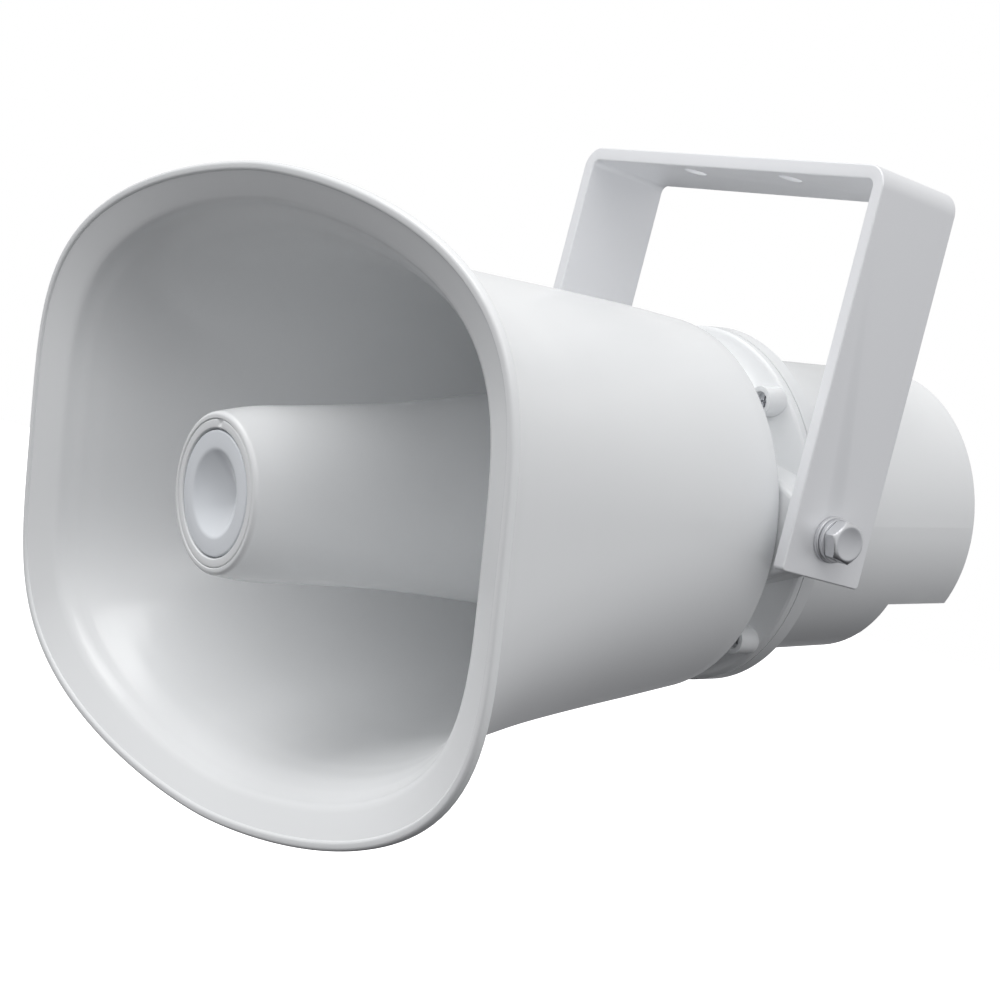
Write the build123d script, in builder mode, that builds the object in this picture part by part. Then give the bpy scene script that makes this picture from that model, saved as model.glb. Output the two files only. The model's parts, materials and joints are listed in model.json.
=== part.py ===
"""Re-entrant paging horn on a tilting U bracket, built as the separate pieces it is assembled from.

Frame: millimetres, +Z up, +X to the right of someone who faces the mouth from behind the bracket.
The origin is the middle of the crossbar's outer face, and the bracket hangs below it. The horn
faces -Y and is pitched mouth-down, so its pieces are drawn on planes set along its own axis.
"""

from build123d import *
import os
from math import cos, pi, radians, sin, sqrt

# ---------------------------------------------------------------- driving dimensions
# Bracket, bent from flat steel bar
BAR_WIDTH = 36.6
BAR_THICKNESS = 5.0
BRACKET_HALF_SPAN = 81.6
PIVOT_DROP = 125.2
ARM_TAIL = 14.4
BEND_RADIUS = 8.0
ARM_CORNER_RADIUS = 1.5
BAR_EDGE_RADIUS = 0.6
PIVOT_HOLE_RADIUS = 4.5
FIXING_HOLE_RADIUS = 4.25
FIXING_HOLE_SPACING = 52.0
FIXING_HOLE_OFFSET = -9.5
REST_PITCH = 10.9

# Pivot hardware, M8
BOLT_RADIUS = 3.95
BOLT_HEAD_FLATS = 13.0
BOLT_HEAD_HEIGHT = 5.3
BOLT_LENGTH = 25.0
FLAT_WASHER = (4.2, 8.0, 1.6)
SPRING_WASHER = (4.05, 7.4, 2.1)
INSERT_RADIUS = 5.5
INSERT_LENGTH = 16.0
JOINT_GAP = 0.3
SEAT_GAP = 0.1

# Horn depths, measured back from the mouth along the horn's axis
PIVOT_DEPTH = 186.9
LIP_DEPTH = 3.0
BELL_REAR_DEPTH = 177.2
SEAM_DEPTH = 194.7
SEAM_GAP = 0.4
FLANGE_REAR_DEPTH = 201.3
NOTCH_DEPTH = 256.4
HOUSING_REAR_DEPTH = 287.8

# Bell: half width and half height of the outer skin at a few depths
MOUTH_HALF_WIDTH = 150.0
MOUTH_HALF_HEIGHT = 105.8
LIP_WIDTH = 3.3
BELL_WALL = 2.8
BELL_REAR_RADIUS = 66.4
BELL_STATIONS = (
    (3.0, 148.9, 103.9),
    (6.0, 146.5, 99.2),
    (10.0, 143.4, 94.8),
    (16.0, 138.7, 90.2),
    (24.0, 131.2, 87.0),
    (34.0, 121.7, 84.4),
    (50.0, 110.5, 81.4),
    (70.0, 99.9, 79.1),
    (90.0, 91.2, 76.9),
    (110.0, 83.8, 74.8),
    (130.0, 77.4, 72.6),
    (150.0, 71.7, 70.3),
    (BELL_REAR_DEPTH, BELL_REAR_RADIUS, BELL_REAR_RADIUS),
)
LIP_EDGE_RADIUS = 1.0
BELL_SCREW_CIRCLE = 44.0
BELL_SCREW_ANGLES = (0, 90, 180, 270)
SMALL_SCREW_RADIUS = 1.5
SMALL_SCREW_LENGTH = 7.0
SMALL_HEAD = (2.8, 1.9)
THREAD_GAP = 0.05
INNER_MOUTH_STATION = (-1.5, 147.4, 104.3)
SQUARENESS_FADE = 1.63
CORNER_POWER_ACROSS = 1.73
CORNER_POWER_UP = 4.03
OUTLINE_POINTS = 32

# Back plate, its neck, lugs and screw bosses
NECK_RADIUS = 51.0
SPIGOT_RADIUS = 38.0
SPIGOT_WALL = 4.0
FLANGE_RADIUS = 64.6
PLATE_THICKNESS = 4.8
POCKET_RADIUS = 46.0
BOSS_CIRCLE_RADIUS = 59.4
BOSS_RADIUS = 5.3
BOSS_FRONT_DEPTH = 183.4
BOSS_ANGLES = (45, 135, 225, 315)
BOSS_MOUTH_RADIUS = 3.6
BOSS_SEAT = 5.0
HUB_RADIUS = 12.0
COVE_RADIUS = 16.0
LUG_FRONT_DEPTH = 177.7
LUG_REAR_DEPTH = 194.4
LUG_FACE = BRACKET_HALF_SPAN - BAR_THICKNESS - JOINT_GAP
LUG_SECTIONS = ((50.0, 21.5), (LUG_FACE, 11.0))
LUG_CORNER = 2.5
HOUSING_SCREW_RADIUS = 2.0
HOUSING_SCREW_LENGTH = 11.0
HOUSING_HEAD = (3.4, 2.6)
PLATE_PILOT = 5.5
HOUSING_SCREW_HOLE_LENGTH = 20.0
DRIVER_SCREW_HOLE_LENGTH = 8.0
BOSS_FLANGE_THICKNESS = 3.0
FLANGE_CHAMFER = 0.8
GASKET_RING = (52.0, 56.2)
FLANGE_INSERT = (2.05, 2.9, 5.4)

# Rear housing
HOUSING_FRONT_RADIUS = 54.6
HOUSING_REAR_RADIUS = 52.5
HOUSING_WALL = 3.0
NOTCH_HEIGHT = -30.2
HOUSING_EDGE_RADIUS = 1.5
NOTCH_CUT = (120.0, 40.0)
CAVITY_TAPER = 0.7
POST_RADIUS = 3.6
POST_PILOT = 9.0

# Reflector, throat tube and nose
NOSE_FACE_DEPTH = -5.3
NOSE_RADIUS = 26.4
NOSE_EDGE = 1.4
REFLECTOR_WALL = 2.5
REFLECTOR_PROFILE = (
    (28.0, 6.0),
    (29.0, 25.0),
    (31.2, 60.0),
    (36.0, 100.0),
    (41.3, 150.0),
    (42.6, 163.0),
)
NOSE_RING_RADIUS = 23.7
DISH_RADIUS = 20.2
DISH_MOUTH_RADIUS = 13.0
DISH_HOLLOW = 8.8
THROAT_RADIUS = 9.0
THROAT_MOUTH_RADIUS = 12.5
THROAT_WALL = 2.2
THROAT_FRONT_DEPTH = 24.0
THROAT_FLANGE_RADIUS = 26.0
THROAT_SCREW_CIRCLE = 21.0
THROAT_SCREW_ANGLES = (45, 135, 225, 315)
STRUT_COUNT = 3
SPIDER_DEPTH = 8.0
FIN_FRONT_DEPTH = 34.0
FIN_REAR_DEPTH = 50.0
FIN_INNER = 15.0
FIN_OUTER = 28.4
FIN_THICKNESS = 2.0
NOSE_SEAT_DEPTH = 6.0
NOSE_SCREW_RADIUS = 1.95
NOSE_HEAD = (4.0, 2.4)
NOSE_SCREW_LENGTH = 21.0
POST_OUTER = 5.5
DISH_EDGE = 2.5
KEY_NOTCH = (3.0, 1.6)

# Compression driver
DRIVER_RADIUS = 43.0
DRIVER_SCREW_CIRCLE = 39.6
DRIVER_FRONT_DEPTH = 183.0
THROAT_PLATE_THICKNESS = 10.0
DOME_RADIUS = 17.4
DOME_HEIGHT = 5.0
DOME_WALL = 0.3
CHAMBER_GAP = 0.9
CLAMP_THICKNESS = 3.5
TOP_PLATE_THICKNESS = 5.0
MAGNET_RADIUS = 36.0
MAGNET_THICKNESS = 14.0
YOKE_THICKNESS = 5.0
POLE_RADIUS = 16.6
POLE_VENT_RADIUS = 4.0
GAP_OUTER_RADIUS = 18.6
DRIVER_SCREW_RADIUS = 1.9
DRIVER_HEAD = (3.3, 2.4)
DRIVER_SCREW_LENGTH = 22.0
THROAT_GASKET = (9.6, 1.0)
MAGNET_BORE = 22.6
DOME_EDGE_RADIUS = 17.9
SURROUND_INNER = 18.2
SURROUND_THICKNESS = 0.5
CLAMP_INNER = 20.0
COIL_FORMER = (17.3, 17.6)
COIL_WINDING_RADIUS = 18.1
COIL_HEIGHT = 4.0
PLUG_RADIUS = 7.2
PLUG_TIP_DEPTH = 176.0
DOME_BASE_DEPTH = DRIVER_FRONT_DEPTH + THROAT_PLATE_THICKNESS
CLAMP_DEPTH = DOME_BASE_DEPTH + SURROUND_THICKNESS
TOP_PLATE_DEPTH = CLAMP_DEPTH + CLAMP_THICKNESS
MAGNET_DEPTH = TOP_PLATE_DEPTH + TOP_PLATE_THICKNESS
YOKE_DEPTH = MAGNET_DEPTH + MAGNET_THICKNESS

# Line transformer, terminals and cable gland
CORE_SIZE = (44.0, 37.0, 16.0)
CORE_DEPTH = 247.0
CORE_HEIGHT = 10.0
CORE_HOLES = [(x, CORE_HEIGHT + z) for x in (-19.0, 19.0) for z in (-15.5, 15.5)]
BOARD_SIZE = (36.0, 15.0, 1.6)
BOARD_DEPTH = 268.0
BOARD_HEIGHT = -18.0
BOARD_HOLES = [(-14.5, BOARD_HEIGHT), (14.5, BOARD_HEIGHT)]
BOARD_POST_RADIUS = 2.8
CORE_SCREW_LENGTH = 23.0
BOARD_SCREW_LENGTH = 9.0
BLOCK_SIZE = (16.0, 9.0, 11.0)
BLOCK_PITCH = 5.0
GLAND_HEIGHT = -41.5
GLAND_THREAD_RADIUS = 5.9
GLAND_BORE = 4.3
GLAND_SEAL_BORE = 3.2
GLAND_FLATS = 15.0
GLAND_HEX_DEPTH = 4.0
GLAND_FACE = NOTCH_DEPTH + 1.0
GLAND_INSIDE = 9.0
GLAND_LOCKNUT_DEPTH = 3.5
GLAND_NECK = 6.0
GLAND_CROWN = 3.0
GLAND_NUT_GAP = 0.4
GLAND_NUT_EDGE = 2.0
GLAND_RING_WIDTH = 1.3

# ---------------------------------------------------------------- the horn's own planes
PITCH = radians(REST_PITCH)
BACK = Vector(0, cos(PITCH), sin(PITCH))
UP = Vector(0, -sin(PITCH), cos(PITCH))
ACROSS = Vector(1, 0, 0)
PIVOT = Vector(0, 0, -PIVOT_DROP)
MOUTH_CENTRE = PIVOT - BACK * PIVOT_DEPTH
HORN_AXIS = Axis(MOUTH_CENTRE, BACK)
# Local x is the radius and local y the depth behind the mouth
HALF_SECTION = Plane(origin=MOUTH_CENTRE, x_dir=ACROSS, z_dir=UP)


def station(depth):
    """The plane square to the horn's axis at a depth; local y is up and extrusion goes forward."""
    return Plane(origin=MOUTH_CENTRE + BACK * depth, x_dir=ACROSS, z_dir=-BACK)


def side_plane(side, reach):
    """The plane square to the pivot at a distance out from the middle, facing out."""
    return Plane(origin=PIVOT + ACROSS * (side * reach), x_dir=BACK, z_dir=ACROSS * side)


def write(piece, name):
    """Label a finished piece and write it as one STEP."""
    piece.part.label = name
    export_step(piece.part, f"parts/{name}.step")


def ring(inner, outer, front, rear):
    """A plain ring about the horn's axis, from one depth to another."""
    with BuildPart() as made:
        with BuildSketch(station(rear)):
            Circle(outer)
            Circle(inner, mode=Mode.SUBTRACT)
        extrude(amount=rear - front)
    return made


def screw_set(spots, head_depth, head_radius, head_height, shank_radius, shank_length, forward=True):
    """Pan-head screws along the horn's axis, whose heads start at one depth."""
    tip = head_depth + shank_length if forward else head_depth - shank_length
    head_end = head_depth - head_height if forward else head_depth + head_height
    with BuildPart() as made:
        with BuildSketch(station(head_depth)):
            with Locations(*spots):
                Circle(head_radius)
        extrude(amount=head_depth - head_end)
        with BuildSketch(station(head_depth)):
            with Locations(*spots):
                Circle(shank_radius)
        extrude(amount=head_depth - tip)
        # cross recess cut as a slot in each head
        with BuildSketch(station(head_end)):
            with Locations(*spots):
                Rectangle(head_radius * 1.2, head_radius * 0.25)
                Rectangle(head_radius * 0.25, head_radius * 1.2)
        extrude(amount=(head_end - head_depth) * 0.5, mode=Mode.SUBTRACT)
    return made


def on_circle(radius, angles):
    """Points of a circle at these angles in degrees."""
    return [(radius * cos(radians(a)), radius * sin(radians(a))) for a in angles]


# ---------------------------------------------------------------- bracket and pivot hardware
def make_bracket():
    """One flat bar bent twice into a U that hangs from its crossbar."""
    inner = BRACKET_HALF_SPAN - BAR_THICKNESS
    foot = -PIVOT_DROP - ARM_TAIL
    with BuildPart() as made:
        with BuildSketch(Plane.XZ):
            with BuildLine():
                FilletPolyline(
                    (-BRACKET_HALF_SPAN, foot),
                    (-BRACKET_HALF_SPAN, 0),
                    (BRACKET_HALF_SPAN, 0),
                    (BRACKET_HALF_SPAN, foot),
                    radius=BEND_RADIUS,
                )
                Line((BRACKET_HALF_SPAN, foot), (inner, foot))
                FilletPolyline(
                    (inner, foot),
                    (inner, -BAR_THICKNESS),
                    (-inner, -BAR_THICKNESS),
                    (-inner, foot),
                    radius=BEND_RADIUS - BAR_THICKNESS,
                )
                Line((-inner, foot), (-BRACKET_HALF_SPAN, foot))
            make_face()
        extrude(amount=BAR_WIDTH / 2, both=True)
        corners = made.edges().filter_by(Axis.X).group_by(Axis.Z)[0]
        fillet(corners, ARM_CORNER_RADIUS)
        fillet(made.faces().filter_by(Axis.Y).edges(), BAR_EDGE_RADIUS)
        with Locations(Plane(origin=PIVOT, x_dir=(0, 1, 0), z_dir=ACROSS)):
            Hole(PIVOT_HOLE_RADIUS)
        with Locations((0, FIXING_HOLE_OFFSET, 0)):
            with GridLocations(FIXING_HOLE_SPACING, 0, 2, 1):
                Hole(FIXING_HOLE_RADIUS)
    return made


def make_pivot_pair(radius_in, radius_out, start, thickness):
    """A matching washer on each side of the bracket, starting at a distance from the middle."""
    with BuildPart() as made:
        for side in (-1, 1):
            with BuildSketch(side_plane(side, start)):
                Circle(radius_out)
                Circle(radius_in, mode=Mode.SUBTRACT)
            extrude(amount=thickness)
    return made


def make_spring_washers(start):
    """Split lock washers: a flat ring with a slanted cut through one side."""
    radius_in, radius_out, thickness = SPRING_WASHER
    with BuildPart() as made:
        for side in (-1, 1):
            with BuildSketch(side_plane(side, start)):
                Circle(radius_out)
                Circle(radius_in, mode=Mode.SUBTRACT)
                with Locations(((radius_in + radius_out) / 2, 0)):
                    Rectangle(radius_out - radius_in + 1, 1.2, rotation=20, mode=Mode.SUBTRACT)
            extrude(amount=thickness)
    return made


def make_pivot_bolts(head_start):
    """Two M8 hexagon bolts, one each side, with chamfered heads."""
    with BuildPart() as made:
        for side in (-1, 1):
            with BuildSketch(side_plane(side, head_start)):
                RegularPolygon(BOLT_HEAD_FLATS / 2, 6, major_radius=False)
            extrude(amount=BOLT_HEAD_HEIGHT)
            with BuildSketch(side_plane(side, head_start)):
                Circle(BOLT_RADIUS)
            extrude(amount=-BOLT_LENGTH)
        outer_faces = made.faces().filter_by(Axis.X).sort_by(Axis.X)
        chamfer([outer_faces[0].edges(), outer_faces[-1].edges()], 0.5)
    return made


def make_lug_inserts(face):
    """Threaded brass bushes moulded into the lugs, blind at the inner end."""
    with BuildPart() as made:
        for side in (-1, 1):
            with BuildSketch(side_plane(side, face)):
                RegularPolygon(INSERT_RADIUS, 8)
                Circle(BOLT_RADIUS + 0.05, mode=Mode.SUBTRACT)
            extrude(amount=-INSERT_LENGTH)
    return made


# ---------------------------------------------------------------- bell
def squareness(depth):
    """The two powers of the squared oval: most at the mouth, and a plain circle at the rear."""
    strength = max(0.0, 1 - depth / BELL_REAR_DEPTH) ** SQUARENESS_FADE
    return 2 + (CORNER_POWER_ACROSS - 2) * strength, 2 + (CORNER_POWER_UP - 2) * strength


def oval_points(depth, half_width, half_height):
    """Points of |x/a|^p + |y/b|^q = 1 at even angles, each found by halving."""
    across_power, up_power = squareness(max(0.0, depth))
    points = []
    for index in range(OUTLINE_POINTS):
        angle = 2 * pi * index / OUTLINE_POINTS
        inside, outside = 0.0, half_width + half_height
        while outside - inside > 1e-6:
            middle = (inside + outside) / 2
            across = abs(middle * cos(angle)) / half_width
            up = abs(middle * sin(angle)) / half_height
            if across**across_power + up**up_power < 1:
                inside = middle
            else:
                outside = middle
        points.append((inside * cos(angle), inside * sin(angle)))
    return points


def draw_oval(depth, half_width, half_height):
    """A closed smooth outline of the bell at one depth."""
    with BuildSketch(station(depth)) as outline:
        with BuildLine():
            Spline(*oval_points(depth, half_width, half_height), periodic=True)
        make_face()
    return outline.sketch


def inner_stations():
    """The inner skin: each outer station less the wall, measured square to the flare."""
    found = [
        INNER_MOUTH_STATION,
        (0.0, MOUTH_HALF_WIDTH - LIP_WIDTH, MOUTH_HALF_HEIGHT - LIP_WIDTH),
    ]
    for here, there in zip(BELL_STATIONS, BELL_STATIONS[1:]):
        run = there[0] - here[0]
        sizes = [here[i] - BELL_WALL * sqrt(1 + ((here[i] - there[i]) / run) ** 2) for i in (1, 2)]
        found.append((here[0], *sizes))
    rear = BELL_REAR_RADIUS - BELL_WALL
    found.append((BELL_REAR_DEPTH - BELL_WALL, rear, rear))
    return found


def make_horn_bell():
    """The outer bell: a flare from round to squared oval, with a lip, and a flat rear wall."""
    with BuildPart() as hollow:
        loft([draw_oval(*sizes) for sizes in inner_stations()], ruled=True)
    with BuildPart() as made:
        loft([draw_oval(*sizes) for sizes in BELL_STATIONS], ruled=True)
        with BuildSketch(station(LIP_DEPTH)):
            with BuildLine():
                Spline(*oval_points(0, MOUTH_HALF_WIDTH, MOUTH_HALF_HEIGHT), periodic=True)
            make_face()
        extrude(amount=LIP_DEPTH)
        add(hollow.part, mode=Mode.SUBTRACT)
        with BuildSketch(station(BELL_REAR_DEPTH)):
            Circle(SPIGOT_RADIUS + SEAT_GAP)
        extrude(amount=2 * BELL_WALL, mode=Mode.SUBTRACT)
        with BuildSketch(station(BELL_REAR_DEPTH)):
            with Locations(*on_circle(BELL_SCREW_CIRCLE, BELL_SCREW_ANGLES)):
                Circle(SMALL_SCREW_RADIUS)
        extrude(amount=2 * BELL_WALL, mode=Mode.SUBTRACT)
        fillet(made.edges().group_by(HORN_AXIS)[0], LIP_EDGE_RADIUS)
    return made


# ---------------------------------------------------------------- back plate
def cut_holes(depth, spots, radius, length):
    """Cut round holes that start at a depth and go back, in the part that is being made."""
    with BuildSketch(station(depth)) as holes:
        with Locations(*spots):
            Circle(radius)
    extrude(holes.sketch, amount=-length, mode=Mode.SUBTRACT)


def make_back_plate():
    """The moulding behind the bell: disc, coved neck, flange, four screw bosses and two lugs."""
    plate_rear = BELL_REAR_DEPTH + PLATE_THICKNESS
    flange_rear = SEAM_DEPTH - SEAM_GAP / 2
    flange_front = flange_rear - BOSS_FLANGE_THICKNESS
    rim = FLANGE_RADIUS - FLANGE_CHAMFER
    with BuildPart() as made:
        with BuildSketch(HALF_SECTION):
            with BuildLine():
                Polyline(
                    (HUB_RADIUS, plate_rear),
                    (HUB_RADIUS, BELL_REAR_DEPTH),
                    (SPIGOT_RADIUS - SPIGOT_WALL, BELL_REAR_DEPTH),
                    (SPIGOT_RADIUS - SPIGOT_WALL, BELL_REAR_DEPTH - BELL_WALL),
                    (SPIGOT_RADIUS, BELL_REAR_DEPTH - BELL_WALL),
                    (SPIGOT_RADIUS, BELL_REAR_DEPTH),
                    (NECK_RADIUS, BELL_REAR_DEPTH),
                )
                RadiusArc((NECK_RADIUS, BELL_REAR_DEPTH), (rim, flange_front), COVE_RADIUS)
                Polyline(
                    (rim, flange_front),
                    (FLANGE_RADIUS, flange_front + FLANGE_CHAMFER),
                    (FLANGE_RADIUS, flange_rear),
                    (POCKET_RADIUS, flange_rear),
                    (POCKET_RADIUS, plate_rear),
                    (HUB_RADIUS, plate_rear),
                )
            make_face()
        revolve(axis=HORN_AXIS)
        with BuildSketch(station(flange_front)):
            with Locations(*on_circle(BOSS_CIRCLE_RADIUS, BOSS_ANGLES)):
                Circle(BOSS_RADIUS)
        extrude(amount=flange_front - BOSS_FRONT_DEPTH)
        for side in (-1, 1):
            for reach, half_height in LUG_SECTIONS:
                with BuildSketch(side_plane(side, reach)):
                    with Locations(((LUG_FRONT_DEPTH + LUG_REAR_DEPTH) / 2 - PIVOT_DEPTH, 0)):
                        RectangleRounded(LUG_REAR_DEPTH - LUG_FRONT_DEPTH, 2 * half_height, LUG_CORNER)
            loft()
            with BuildSketch(side_plane(side, LUG_FACE)):
                RegularPolygon(INSERT_RADIUS, 8)
            extrude(amount=-INSERT_LENGTH, mode=Mode.SUBTRACT)
        with BuildSketch(station(plate_rear)):
            Circle(POCKET_RADIUS)
        extrude(amount=plate_rear - flange_rear, mode=Mode.SUBTRACT)
        bosses = on_circle(BOSS_CIRCLE_RADIUS, BOSS_ANGLES)
        cut_holes(BOSS_FRONT_DEPTH, bosses, BOSS_MOUTH_RADIUS, BOSS_SEAT)
        cut_holes(BOSS_FRONT_DEPTH, bosses, HOUSING_SCREW_RADIUS + SEAT_GAP, HOUSING_SCREW_HOLE_LENGTH)
        for circle, angles in (
            (BELL_SCREW_CIRCLE, BELL_SCREW_ANGLES),
            (THROAT_SCREW_CIRCLE, THROAT_SCREW_ANGLES),
        ):
            cut_holes(BELL_REAR_DEPTH - 1, on_circle(circle, angles), SMALL_SCREW_RADIUS, PLATE_PILOT)
        driver_spots = on_circle(DRIVER_SCREW_CIRCLE, BOSS_ANGLES)
        cut_holes(plate_rear - 3.3, driver_spots, DRIVER_SCREW_RADIUS, DRIVER_SCREW_HOLE_LENGTH)
    return made


# ---------------------------------------------------------------- reflector, throat and nose
def make_reflector():
    """The flared centre tube: closed by a disc near its nose, and held by a post and three fins."""
    inner_profile = [(r - REFLECTOR_WALL, d) for r, d in REFLECTOR_PROFILE]
    seat = NOSE_RING_RADIUS + SEAT_GAP
    with BuildPart() as made:
        with BuildSketch(HALF_SECTION):
            with BuildLine():
                face_edge = (NOSE_RADIUS - NOSE_EDGE, NOSE_FACE_DEPTH)
                side_edge = (NOSE_RADIUS, NOSE_FACE_DEPTH + NOSE_EDGE)
                Polyline((seat, NOSE_SEAT_DEPTH), (seat, NOSE_FACE_DEPTH), face_edge)
                RadiusArc(face_edge, side_edge, -NOSE_EDGE)
                Spline(side_edge, *REFLECTOR_PROFILE)
                rear_outer, rear_inner = REFLECTOR_PROFILE[-1], inner_profile[-1]
                RadiusArc(rear_outer, rear_inner, -REFLECTOR_WALL / 2)
                Spline(*reversed(inner_profile[1:]), (inner_profile[0][0], NOSE_SEAT_DEPTH + 3))
                Polyline(
                    (inner_profile[0][0], NOSE_SEAT_DEPTH + 3),
                    (POST_OUTER, NOSE_SEAT_DEPTH + 3),
                    (POST_OUTER, THROAT_FRONT_DEPTH),
                    (NOSE_SCREW_RADIUS + 0.1, THROAT_FRONT_DEPTH),
                    (NOSE_SCREW_RADIUS + 0.1, NOSE_SEAT_DEPTH + NOSE_HEAD[1]),
                    (NOSE_HEAD[0] + 0.2, NOSE_SEAT_DEPTH + NOSE_HEAD[1]),
                    (NOSE_HEAD[0] + 0.2, NOSE_SEAT_DEPTH),
                    (seat, NOSE_SEAT_DEPTH),
                )
            make_face()
        revolve(axis=HORN_AXIS)
        with BuildSketch(station(FIN_REAR_DEPTH)):
            with PolarLocations((FIN_INNER + FIN_OUTER) / 2, STRUT_COUNT, start_angle=90):
                Rectangle(FIN_OUTER - FIN_INNER, FIN_THICKNESS)
        extrude(amount=FIN_REAR_DEPTH - FIN_FRONT_DEPTH)
    return made


def make_throat_tube():
    """The inner horn that carries sound forward, with its base flange and a three-arm spider."""
    flange_front = BELL_REAR_DEPTH - BELL_WALL
    with BuildPart() as made:
        with BuildSketch(HALF_SECTION):
            with BuildLine():
                Polyline(
                    (THROAT_RADIUS, BELL_REAR_DEPTH + PLATE_THICKNESS),
                    (THROAT_MOUTH_RADIUS, THROAT_FRONT_DEPTH),
                    (THROAT_MOUTH_RADIUS + THROAT_WALL, THROAT_FRONT_DEPTH),
                    (THROAT_RADIUS + THROAT_WALL + 0.5, flange_front - 6),
                    (THROAT_RADIUS + THROAT_WALL + 4, flange_front),
                    (THROAT_FLANGE_RADIUS, flange_front),
                    (THROAT_FLANGE_RADIUS, BELL_REAR_DEPTH),
                    (HUB_RADIUS - SEAT_GAP, BELL_REAR_DEPTH),
                    (HUB_RADIUS - SEAT_GAP, BELL_REAR_DEPTH + PLATE_THICKNESS),
                    close=True,
                )
            make_face()
        revolve(axis=HORN_AXIS)
        with BuildSketch(station(THROAT_FRONT_DEPTH + SPIDER_DEPTH)):
            Circle(POST_OUTER)
            with PolarLocations(THROAT_MOUTH_RADIUS / 2, STRUT_COUNT, start_angle=90):
                Rectangle(THROAT_MOUTH_RADIUS, 2)
            Circle(NOSE_SCREW_RADIUS, mode=Mode.SUBTRACT)
        extrude(amount=SPIDER_DEPTH)
        cut_holes(flange_front - 1, on_circle(THROAT_SCREW_CIRCLE, THROAT_SCREW_ANGLES), SMALL_SCREW_RADIUS, 5)
    return made


def make_nose_ring():
    """The trim ring pressed into the reflector's nose, with a ledge for the dish and a key notch."""
    ledge = NOSE_FACE_DEPTH + DISH_EDGE + 0.2
    with BuildPart() as made:
        with BuildSketch(HALF_SECTION):
            with BuildLine():
                Polyline(
                    (NOSE_RING_RADIUS, NOSE_FACE_DEPTH + 0.3),
                    (NOSE_RING_RADIUS - 0.3, NOSE_FACE_DEPTH),
                    (DISH_RADIUS + 0.9, NOSE_FACE_DEPTH),
                    (DISH_RADIUS + 0.5, NOSE_FACE_DEPTH + 0.4),
                    (DISH_RADIUS + 0.5, ledge),
                    (DISH_RADIUS - 2.5, ledge),
                    (DISH_RADIUS - 2.5, ledge + 2),
                    (NOSE_RING_RADIUS - 2, ledge + 2),
                    (NOSE_RING_RADIUS - 2, NOSE_SEAT_DEPTH),
                    (NOSE_RING_RADIUS, NOSE_SEAT_DEPTH),
                    close=True,
                )
            make_face()
        revolve(axis=HORN_AXIS)
        with BuildSketch(station(NOSE_FACE_DEPTH + 1.2)):
            with Locations((0, NOSE_RING_RADIUS)):
                Rectangle(*KEY_NOTCH)
        extrude(amount=2, mode=Mode.SUBTRACT)
    return made


def make_dish_insert():
    """The nose cap: a flat rim around a shallow cone that hides the nose screw."""
    front = NOSE_FACE_DEPTH + 0.2
    with BuildPart() as made:
        with BuildSketch(HALF_SECTION):
            with BuildLine():
                Polyline(
                    (0, front + DISH_HOLLOW),
                    (DISH_MOUTH_RADIUS, front),
                    (DISH_RADIUS - 0.3, front),
                    (DISH_RADIUS, front + 0.3),
                    (DISH_RADIUS, front + DISH_EDGE),
                    (DISH_RADIUS - 2.9, front + DISH_EDGE),
                    (0, front + DISH_HOLLOW + 1.5),
                    close=True,
                )
            make_face()
        revolve(axis=HORN_AXIS)
    return made


# ---------------------------------------------------------------- rear housing
def make_rear_housing():
    """The cup that covers the driver and transformer, cut flat below for the cable gland."""
    flange_front = SEAM_DEPTH + SEAM_GAP / 2
    cavity_end = NOTCH_DEPTH - HOUSING_WALL
    back_wall = HOUSING_REAR_DEPTH - HOUSING_WALL
    with BuildPart() as made:
        with BuildSketch(HALF_SECTION):
            with BuildLine():
                Polyline(
                    (0, flange_front),
                    (FLANGE_RADIUS, flange_front),
                    (FLANGE_RADIUS, FLANGE_REAR_DEPTH - 0.8),
                    (FLANGE_RADIUS - 0.8, FLANGE_REAR_DEPTH),
                    (HOUSING_FRONT_RADIUS, FLANGE_REAR_DEPTH),
                    (HOUSING_REAR_RADIUS, HOUSING_REAR_DEPTH),
                    (0, HOUSING_REAR_DEPTH),
                    close=True,
                )
            make_face()
        revolve(axis=HORN_AXIS)
        with BuildSketch(station(HOUSING_REAR_DEPTH)):
            with Locations((0, NOTCH_HEIGHT)):
                Rectangle(*NOTCH_CUT, align=(Align.CENTER, Align.MAX))
        extrude(amount=HOUSING_REAR_DEPTH - NOTCH_DEPTH, mode=Mode.SUBTRACT)
        fillet(made.faces().sort_by(HORN_AXIS)[-1].edges(), HOUSING_EDGE_RADIUS)
        with BuildSketch(station(flange_front)):
            Circle(HOUSING_FRONT_RADIUS - HOUSING_WALL)
        extrude(amount=-(cavity_end - flange_front), taper=CAVITY_TAPER, mode=Mode.SUBTRACT)
        with BuildSketch(station(cavity_end - 1)):
            Circle(HOUSING_REAR_RADIUS - HOUSING_WALL)
            with Locations((0, NOTCH_HEIGHT + HOUSING_WALL)):
                Rectangle(*NOTCH_CUT, align=(Align.CENTER, Align.MAX), mode=Mode.SUBTRACT)
        extrude(amount=-(back_wall - cavity_end + 1), mode=Mode.SUBTRACT)
        for spots, radius, front in (
            (CORE_HOLES, POST_RADIUS, CORE_DEPTH + CORE_SIZE[2] / 2),
            (BOARD_HOLES, BOARD_POST_RADIUS, BOARD_DEPTH + BOARD_SIZE[2]),
        ):
            with BuildSketch(station(back_wall + 1)):
                with Locations(*spots):
                    Circle(radius)
            extrude(amount=back_wall + 1 - front)
            cut_holes(front, spots, SMALL_SCREW_RADIUS, POST_PILOT)
        bosses = on_circle(BOSS_CIRCLE_RADIUS, BOSS_ANGLES)
        cut_holes(flange_front, bosses, FLANGE_INSERT[1], FLANGE_INSERT[2])
        gland_hole = GLAND_THREAD_RADIUS + SEAT_GAP
        cut_holes(cavity_end - 1, [(0, GLAND_HEIGHT)], gland_hole, HOUSING_WALL + 2)
    return made


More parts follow.
